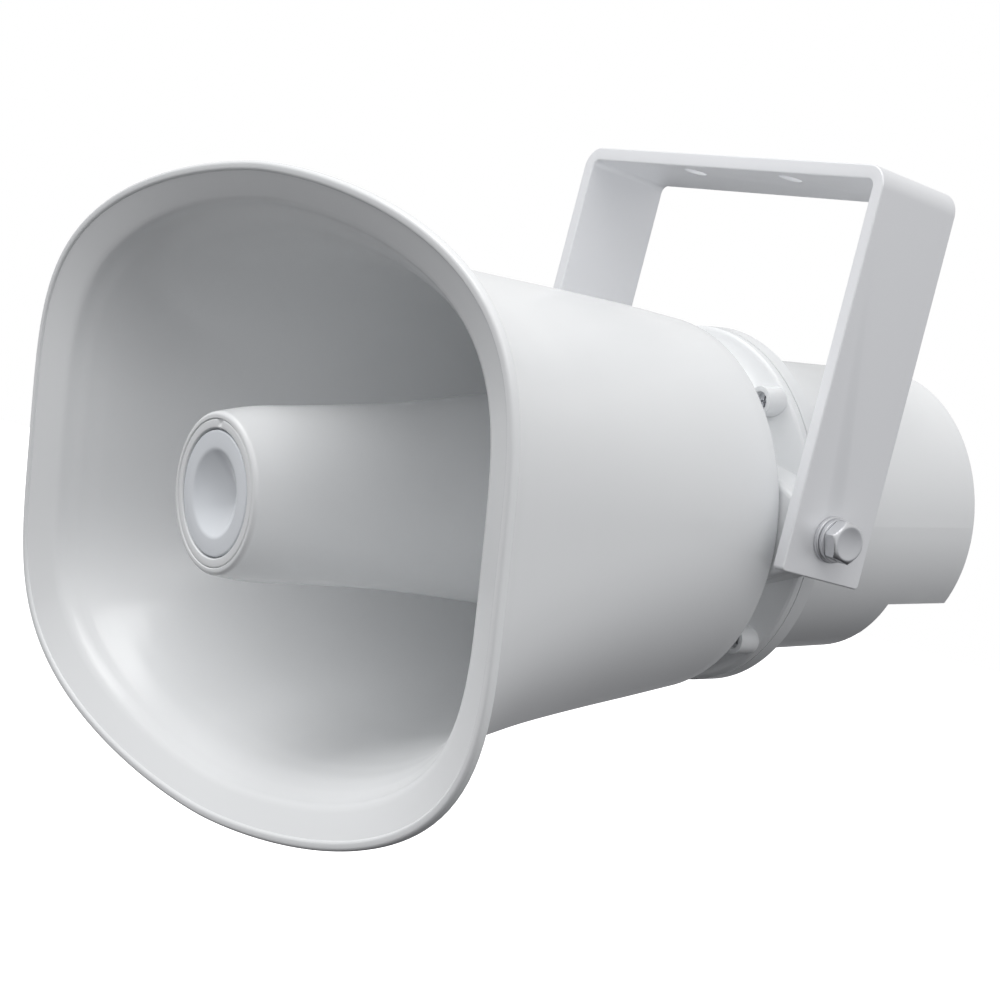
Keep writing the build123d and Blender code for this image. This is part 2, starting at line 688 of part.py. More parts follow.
# ---------------------------------------------------------------- compression driver
def dome_depth(radius, gap):
    """Depth at a radius of the dome's front, or of the surface a gap in front of it."""
    ball = (DOME_RADIUS**2 + DOME_HEIGHT**2) / (2 * DOME_HEIGHT) + gap
    crown = DOME_BASE_DEPTH - DOME_HEIGHT - gap
    return crown + ball - sqrt(ball**2 - radius**2)


def make_throat_plate():
    """The driver's front casting: its rear is hollowed to follow the dome, with a central bore."""
    front, rear = DRIVER_FRONT_DEPTH, DOME_BASE_DEPTH
    hollow = DOME_RADIUS + 1.2
    with BuildPart() as made:
        with BuildSketch(HALF_SECTION):
            with BuildLine():
                Polyline((THROAT_RADIUS, dome_depth(THROAT_RADIUS, CHAMBER_GAP)), (THROAT_RADIUS, front))
                Polyline((THROAT_RADIUS, front), (DRIVER_RADIUS, front), (DRIVER_RADIUS, rear))
                Polyline(
                    (DRIVER_RADIUS, rear),
                    (hollow, rear),
                    (DOME_RADIUS, dome_depth(DOME_RADIUS, CHAMBER_GAP)),
                )
                between = (DOME_RADIUS + THROAT_RADIUS) / 2
                radii = (DOME_RADIUS, between, THROAT_RADIUS)
                ThreePointArc(*[(radius, dome_depth(radius, CHAMBER_GAP)) for radius in radii])
            make_face()
        revolve(axis=HORN_AXIS)
        cut_holes(front, on_circle(DRIVER_SCREW_CIRCLE, BOSS_ANGLES), DRIVER_SCREW_RADIUS + 0.2, 20)
    return made


def make_phase_plug():
    """A bullet in the driver's throat, held by three fins, that leaves an annular slot."""
    rear = dome_depth(PLUG_RADIUS, CHAMBER_GAP)
    with BuildPart() as made:
        with BuildSketch(HALF_SECTION):
            with BuildLine():
                Line((0, rear - 1.5), (0, PLUG_TIP_DEPTH))
                shoulder = (PLUG_RADIUS * 0.62, PLUG_TIP_DEPTH + 2.6)
                ThreePointArc((0, PLUG_TIP_DEPTH), shoulder, (PLUG_RADIUS, rear - 1))
                Polyline((PLUG_RADIUS, rear - 1), (PLUG_RADIUS, rear - 0.6), (0, rear - 1.5))
            make_face()
        revolve(axis=HORN_AXIS)
        with BuildSketch(station(rear - 1.5)):
            with PolarLocations(THROAT_RADIUS / 2, STRUT_COUNT, start_angle=90):
                Rectangle(THROAT_RADIUS - 2 * SEAT_GAP, 1)
        extrude(amount=3)
    return made


def make_diaphragm():
    """A thin dome with a flat edge that the voice coil hangs from."""
    crown = dome_depth(0, 0)
    with BuildPart() as made:
        with BuildSketch(HALF_SECTION):
            with BuildLine():
                half = DOME_RADIUS / 2
                foot = DOME_BASE_DEPTH + DOME_WALL
                ThreePointArc((0, crown), (half, dome_depth(half, 0)), (DOME_RADIUS, DOME_BASE_DEPTH))
                Polyline(
                    (DOME_RADIUS, DOME_BASE_DEPTH),
                    (DOME_EDGE_RADIUS, DOME_BASE_DEPTH),
                    (DOME_EDGE_RADIUS, foot),
                    (DOME_RADIUS, foot),
                )
                under = (half, dome_depth(half, 0) + DOME_WALL)
                ThreePointArc((DOME_RADIUS, foot), under, (0, crown + DOME_WALL))
                Line((0, crown + DOME_WALL), (0, crown))
            make_face()
        revolve(axis=HORN_AXIS)
    return made


def make_voice_coil():
    """The coil former under the dome, with its winding in the magnet's gap."""
    top = DOME_BASE_DEPTH + DOME_WALL
    middle = TOP_PLATE_DEPTH + TOP_PLATE_THICKNESS / 2
    with BuildPart() as made:
        with BuildSketch(HALF_SECTION):
            with BuildLine():
                Polyline(
                    (COIL_FORMER[0], top),
                    (COIL_FORMER[1], top),
                    (COIL_FORMER[1], middle - COIL_HEIGHT / 2),
                    (COIL_WINDING_RADIUS, middle - COIL_HEIGHT / 2),
                    (COIL_WINDING_RADIUS, middle + COIL_HEIGHT / 2),
                    (COIL_FORMER[0], middle + COIL_HEIGHT / 2),
                    close=True,
                )
            make_face()
        revolve(axis=HORN_AXIS)
    return made


def make_pole_piece():
    """The driver's rear yoke: a steel disc with the centre pole turned on it."""
    with BuildPart() as made:
        with BuildSketch(HALF_SECTION):
            with BuildLine():
                Polyline(
                    (POLE_VENT_RADIUS, YOKE_DEPTH + YOKE_THICKNESS),
                    (POLE_VENT_RADIUS, TOP_PLATE_DEPTH),
                    (POLE_RADIUS - 0.5, TOP_PLATE_DEPTH),
                    (POLE_RADIUS, TOP_PLATE_DEPTH + 0.5),
                    (POLE_RADIUS, YOKE_DEPTH),
                    (MAGNET_RADIUS - 1, YOKE_DEPTH),
                    (MAGNET_RADIUS - 1, YOKE_DEPTH + YOKE_THICKNESS - 1),
                    (MAGNET_RADIUS - 2, YOKE_DEPTH + YOKE_THICKNESS),
                    close=True,
                )
            make_face()
        revolve(axis=HORN_AXIS)
    return made


def make_bored_ring(inner, outer, front, rear):
    """A driver ring with its four screw holes."""
    with BuildPart() as made:
        with BuildSketch(station(rear)):
            Circle(outer)
            Circle(inner, mode=Mode.SUBTRACT)
            with Locations(*on_circle(DRIVER_SCREW_CIRCLE, BOSS_ANGLES)):
                Circle(DRIVER_SCREW_RADIUS + 0.2, mode=Mode.SUBTRACT)
        extrude(amount=rear - front)
    return made


# ---------------------------------------------------------------- line transformer and terminals
def make_transformer_core():
    """Stacked laminations with two windows, and a hole in each corner."""
    width, height, stack = CORE_SIZE
    with BuildPart() as made:
        with BuildSketch(station(CORE_DEPTH + stack / 2)):
            with Locations((0, CORE_HEIGHT)):
                Rectangle(width, height)
                with GridLocations(width / 2, 0, 2, 1):
                    Rectangle(width / 6, height - width / 3, mode=Mode.SUBTRACT)
            with Locations(*CORE_HOLES):
                Circle(SMALL_SCREW_RADIUS + 0.2, mode=Mode.SUBTRACT)
        extrude(amount=stack)
    return made


def make_transformer_winding():
    """The taped winding around the middle leg, which fills both windows."""
    width, height, stack = CORE_SIZE
    bulge = width / 6 - 0.3
    with BuildPart() as made:
        core_middle = station(CORE_DEPTH).origin + UP * CORE_HEIGHT
        with BuildSketch(Plane(origin=core_middle, x_dir=ACROSS, z_dir=UP)):
            RectangleRounded(width / 3 + 2 * bulge, stack + 2 * bulge, 3)
            Rectangle(width / 3 + 0.2, stack + 0.2, mode=Mode.SUBTRACT)
        extrude(amount=(height - width / 3) / 2 - 0.3, both=True)
    return made


def make_terminal_board():
    """The small board that carries the terminals."""
    width, height, thickness = BOARD_SIZE
    with BuildPart() as made:
        with BuildSketch(station(BOARD_DEPTH + thickness)):
            with Locations((0, BOARD_HEIGHT)):
                RectangleRounded(width, height, 1)
            with Locations(*BOARD_HOLES):
                Circle(SMALL_SCREW_RADIUS + 0.1, mode=Mode.SUBTRACT)
        extrude(amount=thickness)
    return made


def make_terminal_block():
    """A screw terminal strip: a stepped body with wire mouths and clamp screws in it."""
    width, height, depth = BLOCK_SIZE
    poles = [(pitch * BLOCK_PITCH, BOARD_HEIGHT) for pitch in (-1, 0, 1)]
    with BuildPart() as made:
        with BuildSketch(station(BOARD_DEPTH)):
            with Locations((0, BOARD_HEIGHT)):
                Rectangle(width, height)
        extrude(amount=depth)
        front_edges = made.faces().sort_by(HORN_AXIS)[0].edges().filter_by(Axis.X)
        chamfer(front_edges, 1.5)
        cut_holes(BOARD_DEPTH - depth - 1, poles, 1.7, 5)
        groove_start = station(BOARD_DEPTH - 3).origin + UP * (BOARD_HEIGHT - height)
        with BuildSketch(Plane(origin=groove_start, x_dir=ACROSS, z_dir=UP)):
            with GridLocations(BLOCK_PITCH, 0, 3, 1):
                Rectangle(3.2, 3)
        extrude(amount=height, mode=Mode.SUBTRACT)
    return made


# ---------------------------------------------------------------- cable gland
def gland_hexagon(front, rear, flats, bore):
    """A hexagon around the gland's axis with a round bore."""
    with BuildSketch(station(rear)) as outline:
        with Locations((0, GLAND_HEIGHT)):
            RegularPolygon(flats / 2, 6, major_radius=False)
            Circle(bore, mode=Mode.SUBTRACT)
    extrude(outline.sketch, amount=rear - front)


def gland_tube(front, rear, outer, inner):
    """A round stretch of the gland."""
    with BuildSketch(station(rear)) as outline:
        with Locations((0, GLAND_HEIGHT)):
            Circle(outer)
            Circle(inner, mode=Mode.SUBTRACT)
    extrude(outline.sketch, amount=rear - front)


def make_gland_body():
    """The gland's body: a thread through the wall, a hexagon outside and a thread for the nut."""
    with BuildPart() as made:
        gland_tube(NOTCH_DEPTH - GLAND_INSIDE, GLAND_FACE, GLAND_THREAD_RADIUS, GLAND_BORE)
        gland_hexagon(GLAND_FACE, GLAND_FACE + GLAND_HEX_DEPTH, GLAND_FLATS, GLAND_BORE)
        neck = GLAND_FACE + GLAND_HEX_DEPTH
        gland_tube(neck, neck + GLAND_NECK, GLAND_THREAD_RADIUS, GLAND_BORE)
    return made


def make_gland_seals():
    """The rubber sleeve that grips a cable, and the ring that seals the body to the wall."""
    with BuildPart() as made:
        neck_end = GLAND_FACE + GLAND_HEX_DEPTH + GLAND_NECK
        gland_tube(GLAND_FACE + 1, neck_end, GLAND_BORE - SEAT_GAP, GLAND_SEAL_BORE)
        thread_hole = GLAND_THREAD_RADIUS + SEAT_GAP
        gland_tube(NOTCH_DEPTH, GLAND_FACE, thread_hole + GLAND_RING_WIDTH, thread_hole)
    return made


def make_gland_locknut():
    """The thin hexagon nut that holds the gland from inside the housing."""
    inside = NOTCH_DEPTH - HOUSING_WALL
    with BuildPart() as made:
        gland_hexagon(inside - GLAND_LOCKNUT_DEPTH, inside, GLAND_FLATS, GLAND_THREAD_RADIUS + SEAT_GAP)
    return made


def make_gland_nut():
    """The domed clamping nut, open in the middle for a cable."""
    front = GLAND_FACE + GLAND_HEX_DEPTH + GLAND_NUT_GAP
    crown = front + GLAND_NECK
    with BuildPart() as made:
        gland_tube(front, crown, GLAND_FLATS / 2, GLAND_THREAD_RADIUS + SEAT_GAP)
        gland_tube(crown, crown + GLAND_CROWN, GLAND_FLATS / 2, GLAND_SEAL_BORE + GLAND_NUT_GAP)
        fillet(made.edges().group_by(HORN_AXIS)[-1].sort_by(SortBy.LENGTH)[-1], GLAND_NUT_EDGE)
    return made


# ---------------------------------------------------------------- make and write every piece
os.makedirs("parts", exist_ok=True)

washer_start = BRACKET_HALF_SPAN + SEAT_GAP
spring_start = washer_start + FLAT_WASHER[2]
head_start = spring_start + SPRING_WASHER[2]
bell_screw_seat = BELL_REAR_DEPTH - BELL_WALL
boss_seat_depth = BOSS_FRONT_DEPTH + BOSS_SEAT
boss_spots = on_circle(BOSS_CIRCLE_RADIUS, BOSS_ANGLES)
bell_spots = on_circle(BELL_SCREW_CIRCLE, BELL_SCREW_ANGLES)
throat_spots = on_circle(THROAT_SCREW_CIRCLE, THROAT_SCREW_ANGLES)
driver_spots = on_circle(DRIVER_SCREW_CIRCLE, BOSS_ANGLES)
core_front = CORE_DEPTH - CORE_SIZE[2] / 2
small_shank = SMALL_SCREW_RADIUS - THREAD_GAP

write(make_bracket(), "bracket")
write(make_pivot_pair(*FLAT_WASHER[:2], washer_start, FLAT_WASHER[2]), "flat_washers")
write(make_spring_washers(spring_start), "spring_washers")
write(make_pivot_bolts(head_start), "pivot_bolts")
write(make_lug_inserts(LUG_FACE), "lug_inserts")

write(make_horn_bell(), "horn_bell")
write(screw_set(bell_spots, bell_screw_seat, *SMALL_HEAD, small_shank, SMALL_SCREW_LENGTH), "bell_screws")
write(make_back_plate(), "back_plate")

write(make_reflector(), "reflector")
write(make_throat_tube(), "throat_tube")
write(screw_set(throat_spots, bell_screw_seat, *SMALL_HEAD, small_shank, SMALL_SCREW_LENGTH), "throat_screws")
write(make_nose_ring(), "nose_ring")
write(make_dish_insert(), "dish_insert")
nose_screw_seat = NOSE_SEAT_DEPTH + NOSE_HEAD[1]
nose_shank = NOSE_SCREW_RADIUS - THREAD_GAP
write(screw_set([(0, 0)], nose_screw_seat, *NOSE_HEAD, nose_shank, NOSE_SCREW_LENGTH), "nose_screw")

write(make_rear_housing(), "rear_housing")
seam_front, seam_rear = SEAM_DEPTH - SEAM_GAP / 2, SEAM_DEPTH + SEAM_GAP / 2
write(ring(*GASKET_RING, seam_front, seam_rear), "housing_gasket")
write(
    screw_set(boss_spots, boss_seat_depth, *HOUSING_HEAD, HOUSING_SCREW_RADIUS, HOUSING_SCREW_LENGTH),
    "housing_screws",
)
with BuildPart() as flange_inserts:
    with BuildSketch(station(seam_rear + FLANGE_INSERT[2])):
        with Locations(*boss_spots):
            Circle(FLANGE_INSERT[1])
            Circle(FLANGE_INSERT[0], mode=Mode.SUBTRACT)
    extrude(amount=FLANGE_INSERT[2])
write(flange_inserts, "flange_inserts")

gasket_front = DRIVER_FRONT_DEPTH - THROAT_GASKET[1]
write(
    make_bored_ring(THROAT_GASKET[0], DRIVER_RADIUS, gasket_front, DRIVER_FRONT_DEPTH),
    "throat_gasket",
)
write(make_throat_plate(), "throat_plate")
write(make_phase_plug(), "phase_plug")
write(make_diaphragm(), "diaphragm")
write(make_voice_coil(), "voice_coil")
write(make_bored_ring(SURROUND_INNER, DRIVER_RADIUS, DOME_BASE_DEPTH, CLAMP_DEPTH), "surround")
write(make_bored_ring(CLAMP_INNER, DRIVER_RADIUS, CLAMP_DEPTH, TOP_PLATE_DEPTH), "clamp_ring")
write(make_bored_ring(GAP_OUTER_RADIUS, DRIVER_RADIUS, TOP_PLATE_DEPTH, MAGNET_DEPTH), "top_plate")
write(ring(MAGNET_BORE, MAGNET_RADIUS, MAGNET_DEPTH, YOKE_DEPTH), "magnet")
write(make_pole_piece(), "pole_piece")
driver_shank = DRIVER_SCREW_RADIUS - THREAD_GAP
driver_screws = screw_set(
    driver_spots, MAGNET_DEPTH, *DRIVER_HEAD, driver_shank, DRIVER_SCREW_LENGTH, forward=False
)
write(driver_screws, "driver_screws")

write(make_transformer_core(), "transformer_core")
write(make_transformer_winding(), "transformer_winding")
write(screw_set(CORE_HOLES, core_front, *SMALL_HEAD, small_shank, CORE_SCREW_LENGTH), "transformer_screws")
write(make_terminal_board(), "terminal_board")
write(make_terminal_block(), "terminal_block")
write(screw_set(BOARD_HOLES, BOARD_DEPTH, *SMALL_HEAD, small_shank, BOARD_SCREW_LENGTH), "board_screws")

write(make_gland_body(), "gland_body")
write(make_gland_seals(), "gland_seals")
write(make_gland_locknut(), "gland_locknut")
write(make_gland_nut(), "gland_nut")
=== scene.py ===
"""Visible pieces, finishes and a small studio for a white oblong horn loudspeaker.

Laid out as an add-on: sizes and colours are scene properties, and one operator makes each piece.
"""

import json
from math import cos, pi, radians, sin, sqrt, tan

import bmesh
import bpy
import numpy as np
from mathutils import Matrix, Vector


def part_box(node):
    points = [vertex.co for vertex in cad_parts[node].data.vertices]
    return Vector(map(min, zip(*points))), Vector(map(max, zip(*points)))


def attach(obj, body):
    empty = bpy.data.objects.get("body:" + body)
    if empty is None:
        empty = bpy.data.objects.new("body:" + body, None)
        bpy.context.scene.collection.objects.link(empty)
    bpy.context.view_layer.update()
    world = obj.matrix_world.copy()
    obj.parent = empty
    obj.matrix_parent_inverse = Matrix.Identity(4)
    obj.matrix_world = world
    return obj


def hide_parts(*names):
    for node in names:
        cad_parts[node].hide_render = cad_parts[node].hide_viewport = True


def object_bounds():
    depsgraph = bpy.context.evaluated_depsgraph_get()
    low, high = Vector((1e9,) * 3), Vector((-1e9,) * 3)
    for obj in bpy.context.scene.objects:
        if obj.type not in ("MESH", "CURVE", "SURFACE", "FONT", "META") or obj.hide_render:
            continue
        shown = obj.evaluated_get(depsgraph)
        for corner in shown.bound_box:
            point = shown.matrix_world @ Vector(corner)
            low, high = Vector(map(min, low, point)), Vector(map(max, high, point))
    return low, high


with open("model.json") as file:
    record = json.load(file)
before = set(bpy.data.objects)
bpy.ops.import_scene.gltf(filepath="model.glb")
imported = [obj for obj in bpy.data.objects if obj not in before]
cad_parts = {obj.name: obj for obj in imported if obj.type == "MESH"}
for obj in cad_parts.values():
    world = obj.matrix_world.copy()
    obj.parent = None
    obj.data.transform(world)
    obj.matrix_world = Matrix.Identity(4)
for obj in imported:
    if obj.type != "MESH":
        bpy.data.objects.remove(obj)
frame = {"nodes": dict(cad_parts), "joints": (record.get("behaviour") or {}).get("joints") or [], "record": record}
CAD_BOX = [list(corner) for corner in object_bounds()]

bl_info = {
    "name": "Horn loudspeaker",
    "version": (1, 0, 0),
    "blender": (4, 5, 0),
    "location": "3D View > Sidebar > Horn",
    "description": "Makes the visible pieces, finishes and studio of a bracket-mounted horn",
    "category": "Object",
}

# ---------------------------------------------------------------- the horn's own axes
MM = 0.001
JOINTS = {joint["name"]: joint for joint in frame["joints"]}
PIVOT = Vector(JOINTS["horn_tilt"]["pos_m"])
ACROSS = Vector(JOINTS["horn_tilt"]["axis"]).normalized()
BACK = Vector(JOINTS["diaphragm_travel"]["axis"]).normalized()
UP = ACROSS.cross(BACK)


def front_of(node):
    """How far forward along the horn's axis a CAD node reaches, measured back from the pivot."""
    return min((vertex.co - PIVOT).dot(BACK) for vertex in frame["nodes"][node].data.vertices)


# Depths are measured back from the plane of the mouth, as x across, y back and z up
MOUTH = PIVOT + BACK * front_of("horn_bell")
HORN = Matrix.Translation(MOUTH) @ Matrix((ACROSS, BACK, UP)).transposed().to_4x4()


# ---------------------------------------------------------------- shapes in mesh code
TURN_STEPS = 160
ARC_STEPS = 5
# Corners closer to straight than this stay as they are
NEARLY_STRAIGHT = radians(88)
SAME_PLACE = 0.002 * MM
NO_LENGTH = 0.0005 * MM


def rounded(corners):
    """A closed outline of (u, v, radius) corners with each corner turned into an arc."""
    points = []
    count = len(corners)
    for index, (u, v, radius) in enumerate(corners):
        here = Vector((u, v))
        before = (Vector(corners[index - 1][:2]) - here).normalized()
        after = (Vector(corners[(index + 1) % count][:2]) - here).normalized()
        half = before.angle(after) / 2
        if radius == 0 or half > NEARLY_STRAIGHT:
            points.append((u, v))
            continue
        centre = here + (before + after).normalized() * radius / sin(half)
        start = here + before * radius / tan(half) - centre
        end = here + after * radius / tan(half) - centre
        sweep = start.angle_signed(end)
        for step in range(ARC_STEPS + 1):
            arm = start.copy()
            arm.rotate(Matrix.Rotation(-sweep * step / ARC_STEPS, 2))
            points.append(tuple(centre + arm))
    return points


def stand_in(made, node, body, sharp):
    """Finish a new mesh object that stands for a CAD node and rides on its body."""
    shape = bmesh.new()
    shape.from_mesh(made.data)
    open_edges = [edge for edge in shape.edges if not edge.is_manifold]
    shape.free()
    if open_edges:
        raise RuntimeError(f"{made.name} is not closed: {len(open_edges)} open edges")
    made.data.shade_smooth()
    made.data.set_sharp_from_angle(angle=radians(sharp))
    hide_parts(node)
    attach(made, body)
    slot = slot_of(node)
    made.data.materials.clear()
    made.data.materials.append(finish(slot))
    return made


def piece(name, vertices, faces, body, node, place=HORN, sharp=35):
    """A mesh object from vertices in millimetres, cleaned and standing for a CAD node."""
    mesh = bpy.data.meshes.new(name)
    mesh.from_pydata([place @ (Vector(vertex) * MM) for vertex in vertices], [], faces)
    shape = bmesh.new()
    shape.from_mesh(mesh)
    bmesh.ops.remove_doubles(shape, verts=shape.verts, dist=SAME_PLACE)
    bmesh.ops.dissolve_degenerate(shape, edges=shape.edges, dist=NO_LENGTH)
    loose = [edge for edge in shape.edges if not edge.link_faces]
    bmesh.ops.delete(shape, geom=loose, context="EDGES")
    bmesh.ops.recalc_face_normals(shape, faces=shape.faces)
    shape.to_mesh(mesh)
    shape.free()
    made = bpy.data.objects.new(name, mesh)
    bpy.context.scene.collection.objects.link(made)
    return stand_in(made, node, body, sharp)


def grid_faces(rows, columns, closed=False):
    """Quads between neighbouring rings of vertices; closed joins the last ring to the first."""
    faces = []
    for row in range(rows if closed else rows - 1):
        here = row * columns
        there = (row + 1) % rows * columns
        for column in range(columns):
            after = (column + 1) % columns
            faces.append((here + column, here + after, there + after, there + column))
    return faces


def circle(radius, steps):
    """Points (u, v) of a circle at even angles."""
    angles = [2 * pi * step / steps for step in range(steps)]
    return [(radius * cos(angle), radius * sin(angle)) for angle in angles]


def turned(profile):
    """Rings of a closed (radius, depth) outline turned about the horn's axis."""
    vertices = [(u, depth, v) for radius, depth in profile for u, v in circle(radius, TURN_STEPS)]
    return vertices, grid_faces(len(profile), TURN_STEPS, closed=True)


def joined(*shapes):
    """Several (vertices, faces) shapes as one."""
    vertices, faces = [], []
    for some_vertices, some_faces in shapes:
        shift = len(vertices)
        vertices += some_vertices
        faces += [tuple(index + shift for index in face) for face in some_faces]
    return vertices, faces


def slot_of(node):
    """The record's material slot of a CAD node."""
    parts = frame["record"]["subparts"]
    return next(part["material_slot"] for part in parts if part["node"] == node)


# ---------------------------------------------------------------- finishes
def linear(code):
    """An sRGB hex colour as linear red, green, blue and alpha."""
    values = [int(code[start:start + 2], 16) / 255 for start in (1, 3, 5)]
    return [v / 12.92 if v <= 0.04045 else ((v + 0.055) / 1.055) ** 2.4 for v in values] + [1.0]


def add(tree, kind, links=None, **settings):
    """Add a node, set its properties or inputs by name, and link sockets to its inputs."""
    node = tree.nodes.new("ShaderNode" + kind)
    for name, value in settings.items():
        if hasattr(node, name):
            setattr(node, name, value)
        else:
            node.inputs[name.replace("_", " ")].default_value = value
    for name, socket in (links or {}).items():
        tree.links.new(socket, node.inputs[name])
    return node


FINISHES = {}


def finish(slot):
    """The material of a slot, made on first use."""
    made = bpy.data.materials.get(slot)
    if made is None:
        made = bpy.data.materials.new(slot)
        made.use_nodes = True
        tree = made.node_tree
        tree.nodes.clear()
        shader = add(tree, "BsdfPrincipled")
        output = add(tree, "OutputMaterial")
        tree.links.new(shader.outputs["BSDF"], output.inputs["Surface"])
        FINISHES[slot](tree, shader)
    return made


def grain(tree, size_mm, detail=3.0, stretch=(1, 1, 1)):
    """Noise whose features are about this many millimetres across."""
    place = add(tree, "TexCoord")
    scaled = add(tree, "Mapping", {"Vector": place.outputs["Object"]}, Scale=stretch)
    per_metre = 1 / (size_mm * MM)
    return add(tree, "TexNoise", {"Vector": scaled.outputs["Vector"]}, Scale=per_metre, Detail=detail)


def tint(tree, shader, noise, codes, low=0.35, high=0.65):
    """Colour that drifts between two close hex colours with a noise."""
    ramp = add(tree, "ValToRGB", {"Fac": noise.outputs["Fac"]})
    ramp.color_ramp.elements[0].position = low
    ramp.color_ramp.elements[1].position = high
    ramp.color_ramp.elements[0].color = linear(codes[0])
    ramp.color_ramp.elements[1].color = linear(codes[1])
    tree.links.new(ramp.outputs["Color"], shader.inputs["Base Color"])


def gloss(tree, shader, noise, low, high):
    """Roughness that drifts between two values with a noise."""
    drift = add(tree, "MapRange", {"Value": noise.outputs["Fac"]}, To_Min=low, To_Max=high)
    tree.links.new(drift.outputs["Result"], shader.inputs["Roughness"])


def relief(tree, shader, layers):
    """Bumps laid over each other: (height socket, height in millimetres)."""
    normal = None
    for height, depth_mm in layers:
        links = {"Height": height}
        if normal is not None:
            links["Normal"] = normal
        normal = add(tree, "Bump", links, Distance=depth_mm * MM, Strength=1.0).outputs["Normal"]
    tree.links.new(normal, shader.inputs["Normal"])


def moulded_asa(tree, shader):
    """ASA, injection moulded in a polished tool: smooth gloss, a cool white, faint flow and sink."""
    colours = bpy.context.scene.horn_colours
    flow = grain(tree, 60, 2)
    tint(tree, shader, flow, (colours.body_shade, colours.body_white))
    gloss(tree, shader, grain(tree, 9, 4), 0.10, 0.15)
    sink = grain(tree, 22, 1)
    skin = grain(tree, 0.9, 3)
    relief(tree, shader, [(sink.outputs["Fac"], 0.03), (skin.outputs["Fac"], 0.001)])
    shader.inputs["IOR"].default_value = 1.54
    shader.inputs["Coat Weight"].default_value = 0.8
    shader.inputs["Coat Roughness"].default_value = 0.06
    shader.inputs["Subsurface Weight"].default_value = 0.04
    shader.inputs["Subsurface Scale"].default_value = 1.5 * MM


def moulded_acrylic_cap(tree, shader):
    """PMMA-rich cap, moulded: a little bluer and glassier than the horn around it."""
    tint(tree, shader, grain(tree, 12, 2), ("#E3E7F2", "#ECEFF8"))
    gloss(tree, shader, grain(tree, 4, 3), 0.14, 0.20)
    relief(tree, shader, [(grain(tree, 8, 1).outputs["Fac"], 0.03)])
    shader.inputs["IOR"].default_value = 1.49
    shader.inputs["Subsurface Weight"].default_value = 0.10
    shader.inputs["Subsurface Scale"].default_value = 2 * MM


def powder_coat(tree, shader):
    """Polyester powder coat, baked on steel: satin, with a fine orange peel."""
    colours = bpy.context.scene.horn_colours
    tint(tree, shader, grain(tree, 40, 2), (colours.coat_shade, colours.coat_white))
    gloss(tree, shader, grain(tree, 3, 3), 0.32, 0.42)
    peel = grain(tree, 1.3, 2)
    dust = grain(tree, 0.35, 2)
    relief(tree, shader, [(peel.outputs["Fac"], 0.05), (dust.outputs["Fac"], 0.008)])
    shader.inputs["IOR"].default_value = 1.5


def turned_stainless(tree, shader):
    """A2 stainless, cold formed and tumbled: bright grey with fine lines and a few soft dents."""
    lines = grain(tree, 0.5, 2, (0.12, 1, 1))
    shader.inputs["Metallic"].default_value = 1.0
    tint(tree, shader, lines, ("#7F7E7C", "#A6A5A3"))
    gloss(tree, shader, grain(tree, 1.6, 4), 0.12, 0.26)
    relief(tree, shader, [(lines.outputs["Fac"], 0.008), (grain(tree, 2.5, 2).outputs["Fac"], 0.03)])


def zinc_plate(tree, shader):
    """Bright zinc on steel, barrel plated: blue-grey with a faint straw bloom."""
    shader.inputs["Metallic"].default_value = 1.0
    tint(tree, shader, grain(tree, 5, 3), ("#A8AEB6", "#BDBCAF"))
    gloss(tree, shader, grain(tree, 1.0, 3), 0.25, 0.42)
    relief(tree, shader, [(grain(tree, 0.6, 3).outputs["Fac"], 0.01)])


def turned_brass(tree, shader):
    """Free-cutting brass, turned: warm yellow with tool lines."""
    shader.inputs["Metallic"].default_value = 1.0
    lines = grain(tree, 0.4, 1, (0.2, 1, 1))
    tint(tree, shader, lines, ("#B8934A", "#D3B069"))
    gloss(tree, shader, lines, 0.25, 0.4)
    relief(tree, shader, [(lines.outputs["Fac"], 0.01)])


def moulded_epdm(tree, shader):
    """EPDM rubber, compression moulded: near black with a dry bloom."""
    tint(tree, shader, grain(tree, 3, 4), ("#151516", "#232325"))
    gloss(tree, shader, grain(tree, 1.5, 3), 0.6, 0.8)
    relief(tree, shader, [(grain(tree, 0.3, 2).outputs["Fac"], 0.02)])


def cast_aluminium(tree, shader):
    """Aluminium, pressure die-cast: pale dull metal with a pebbled skin."""
    shader.inputs["Metallic"].default_value = 1.0
    tint(tree, shader, grain(tree, 4, 4), ("#9C9DA0", "#B9BABD"))
    gloss(tree, shader, grain(tree, 1.2, 3), 0.42, 0.58)
    relief(tree, shader, [(grain(tree, 0.7, 4).outputs["Fac"], 0.03)])


def sintered_ferrite(tree, shader):
    """Ferrite, pressed and sintered: charcoal ceramic with ground faces."""
    tint(tree, shader, grain(tree, 1, 5), ("#26272A", "#37383C"))
    gloss(tree, shader, grain(tree, 2, 4), 0.45, 0.65)
    relief(tree, shader, [(grain(tree, 0.4, 3).outputs["Fac"], 0.02)])


def phenolic_film(tree, shader):
    """Phenolic-dipped film, hot pressed: amber brown with a woven glint."""
    tint(tree, shader, grain(tree, 0.4, 2), ("#7A4B22", "#9A6434"))
    gloss(tree, shader, grain(tree, 0.8, 2), 0.3, 0.45)
    relief(tree, shader, [(grain(tree, 0.35, 1).outputs["Fac"], 0.02)])


def wound_copper(tree, shader):
    """Enamelled copper wire, wound: orange metal banded by its turns."""
    shader.inputs["Metallic"].default_value = 1.0
    turns = grain(tree, 0.25, 1, (0.05, 1, 0.05))
    tint(tree, shader, turns, ("#8F4F30", "#C77D55"))
    gloss(tree, shader, turns, 0.25, 0.4)
    relief(tree, shader, [(turns.outputs["Fac"], 0.05)])


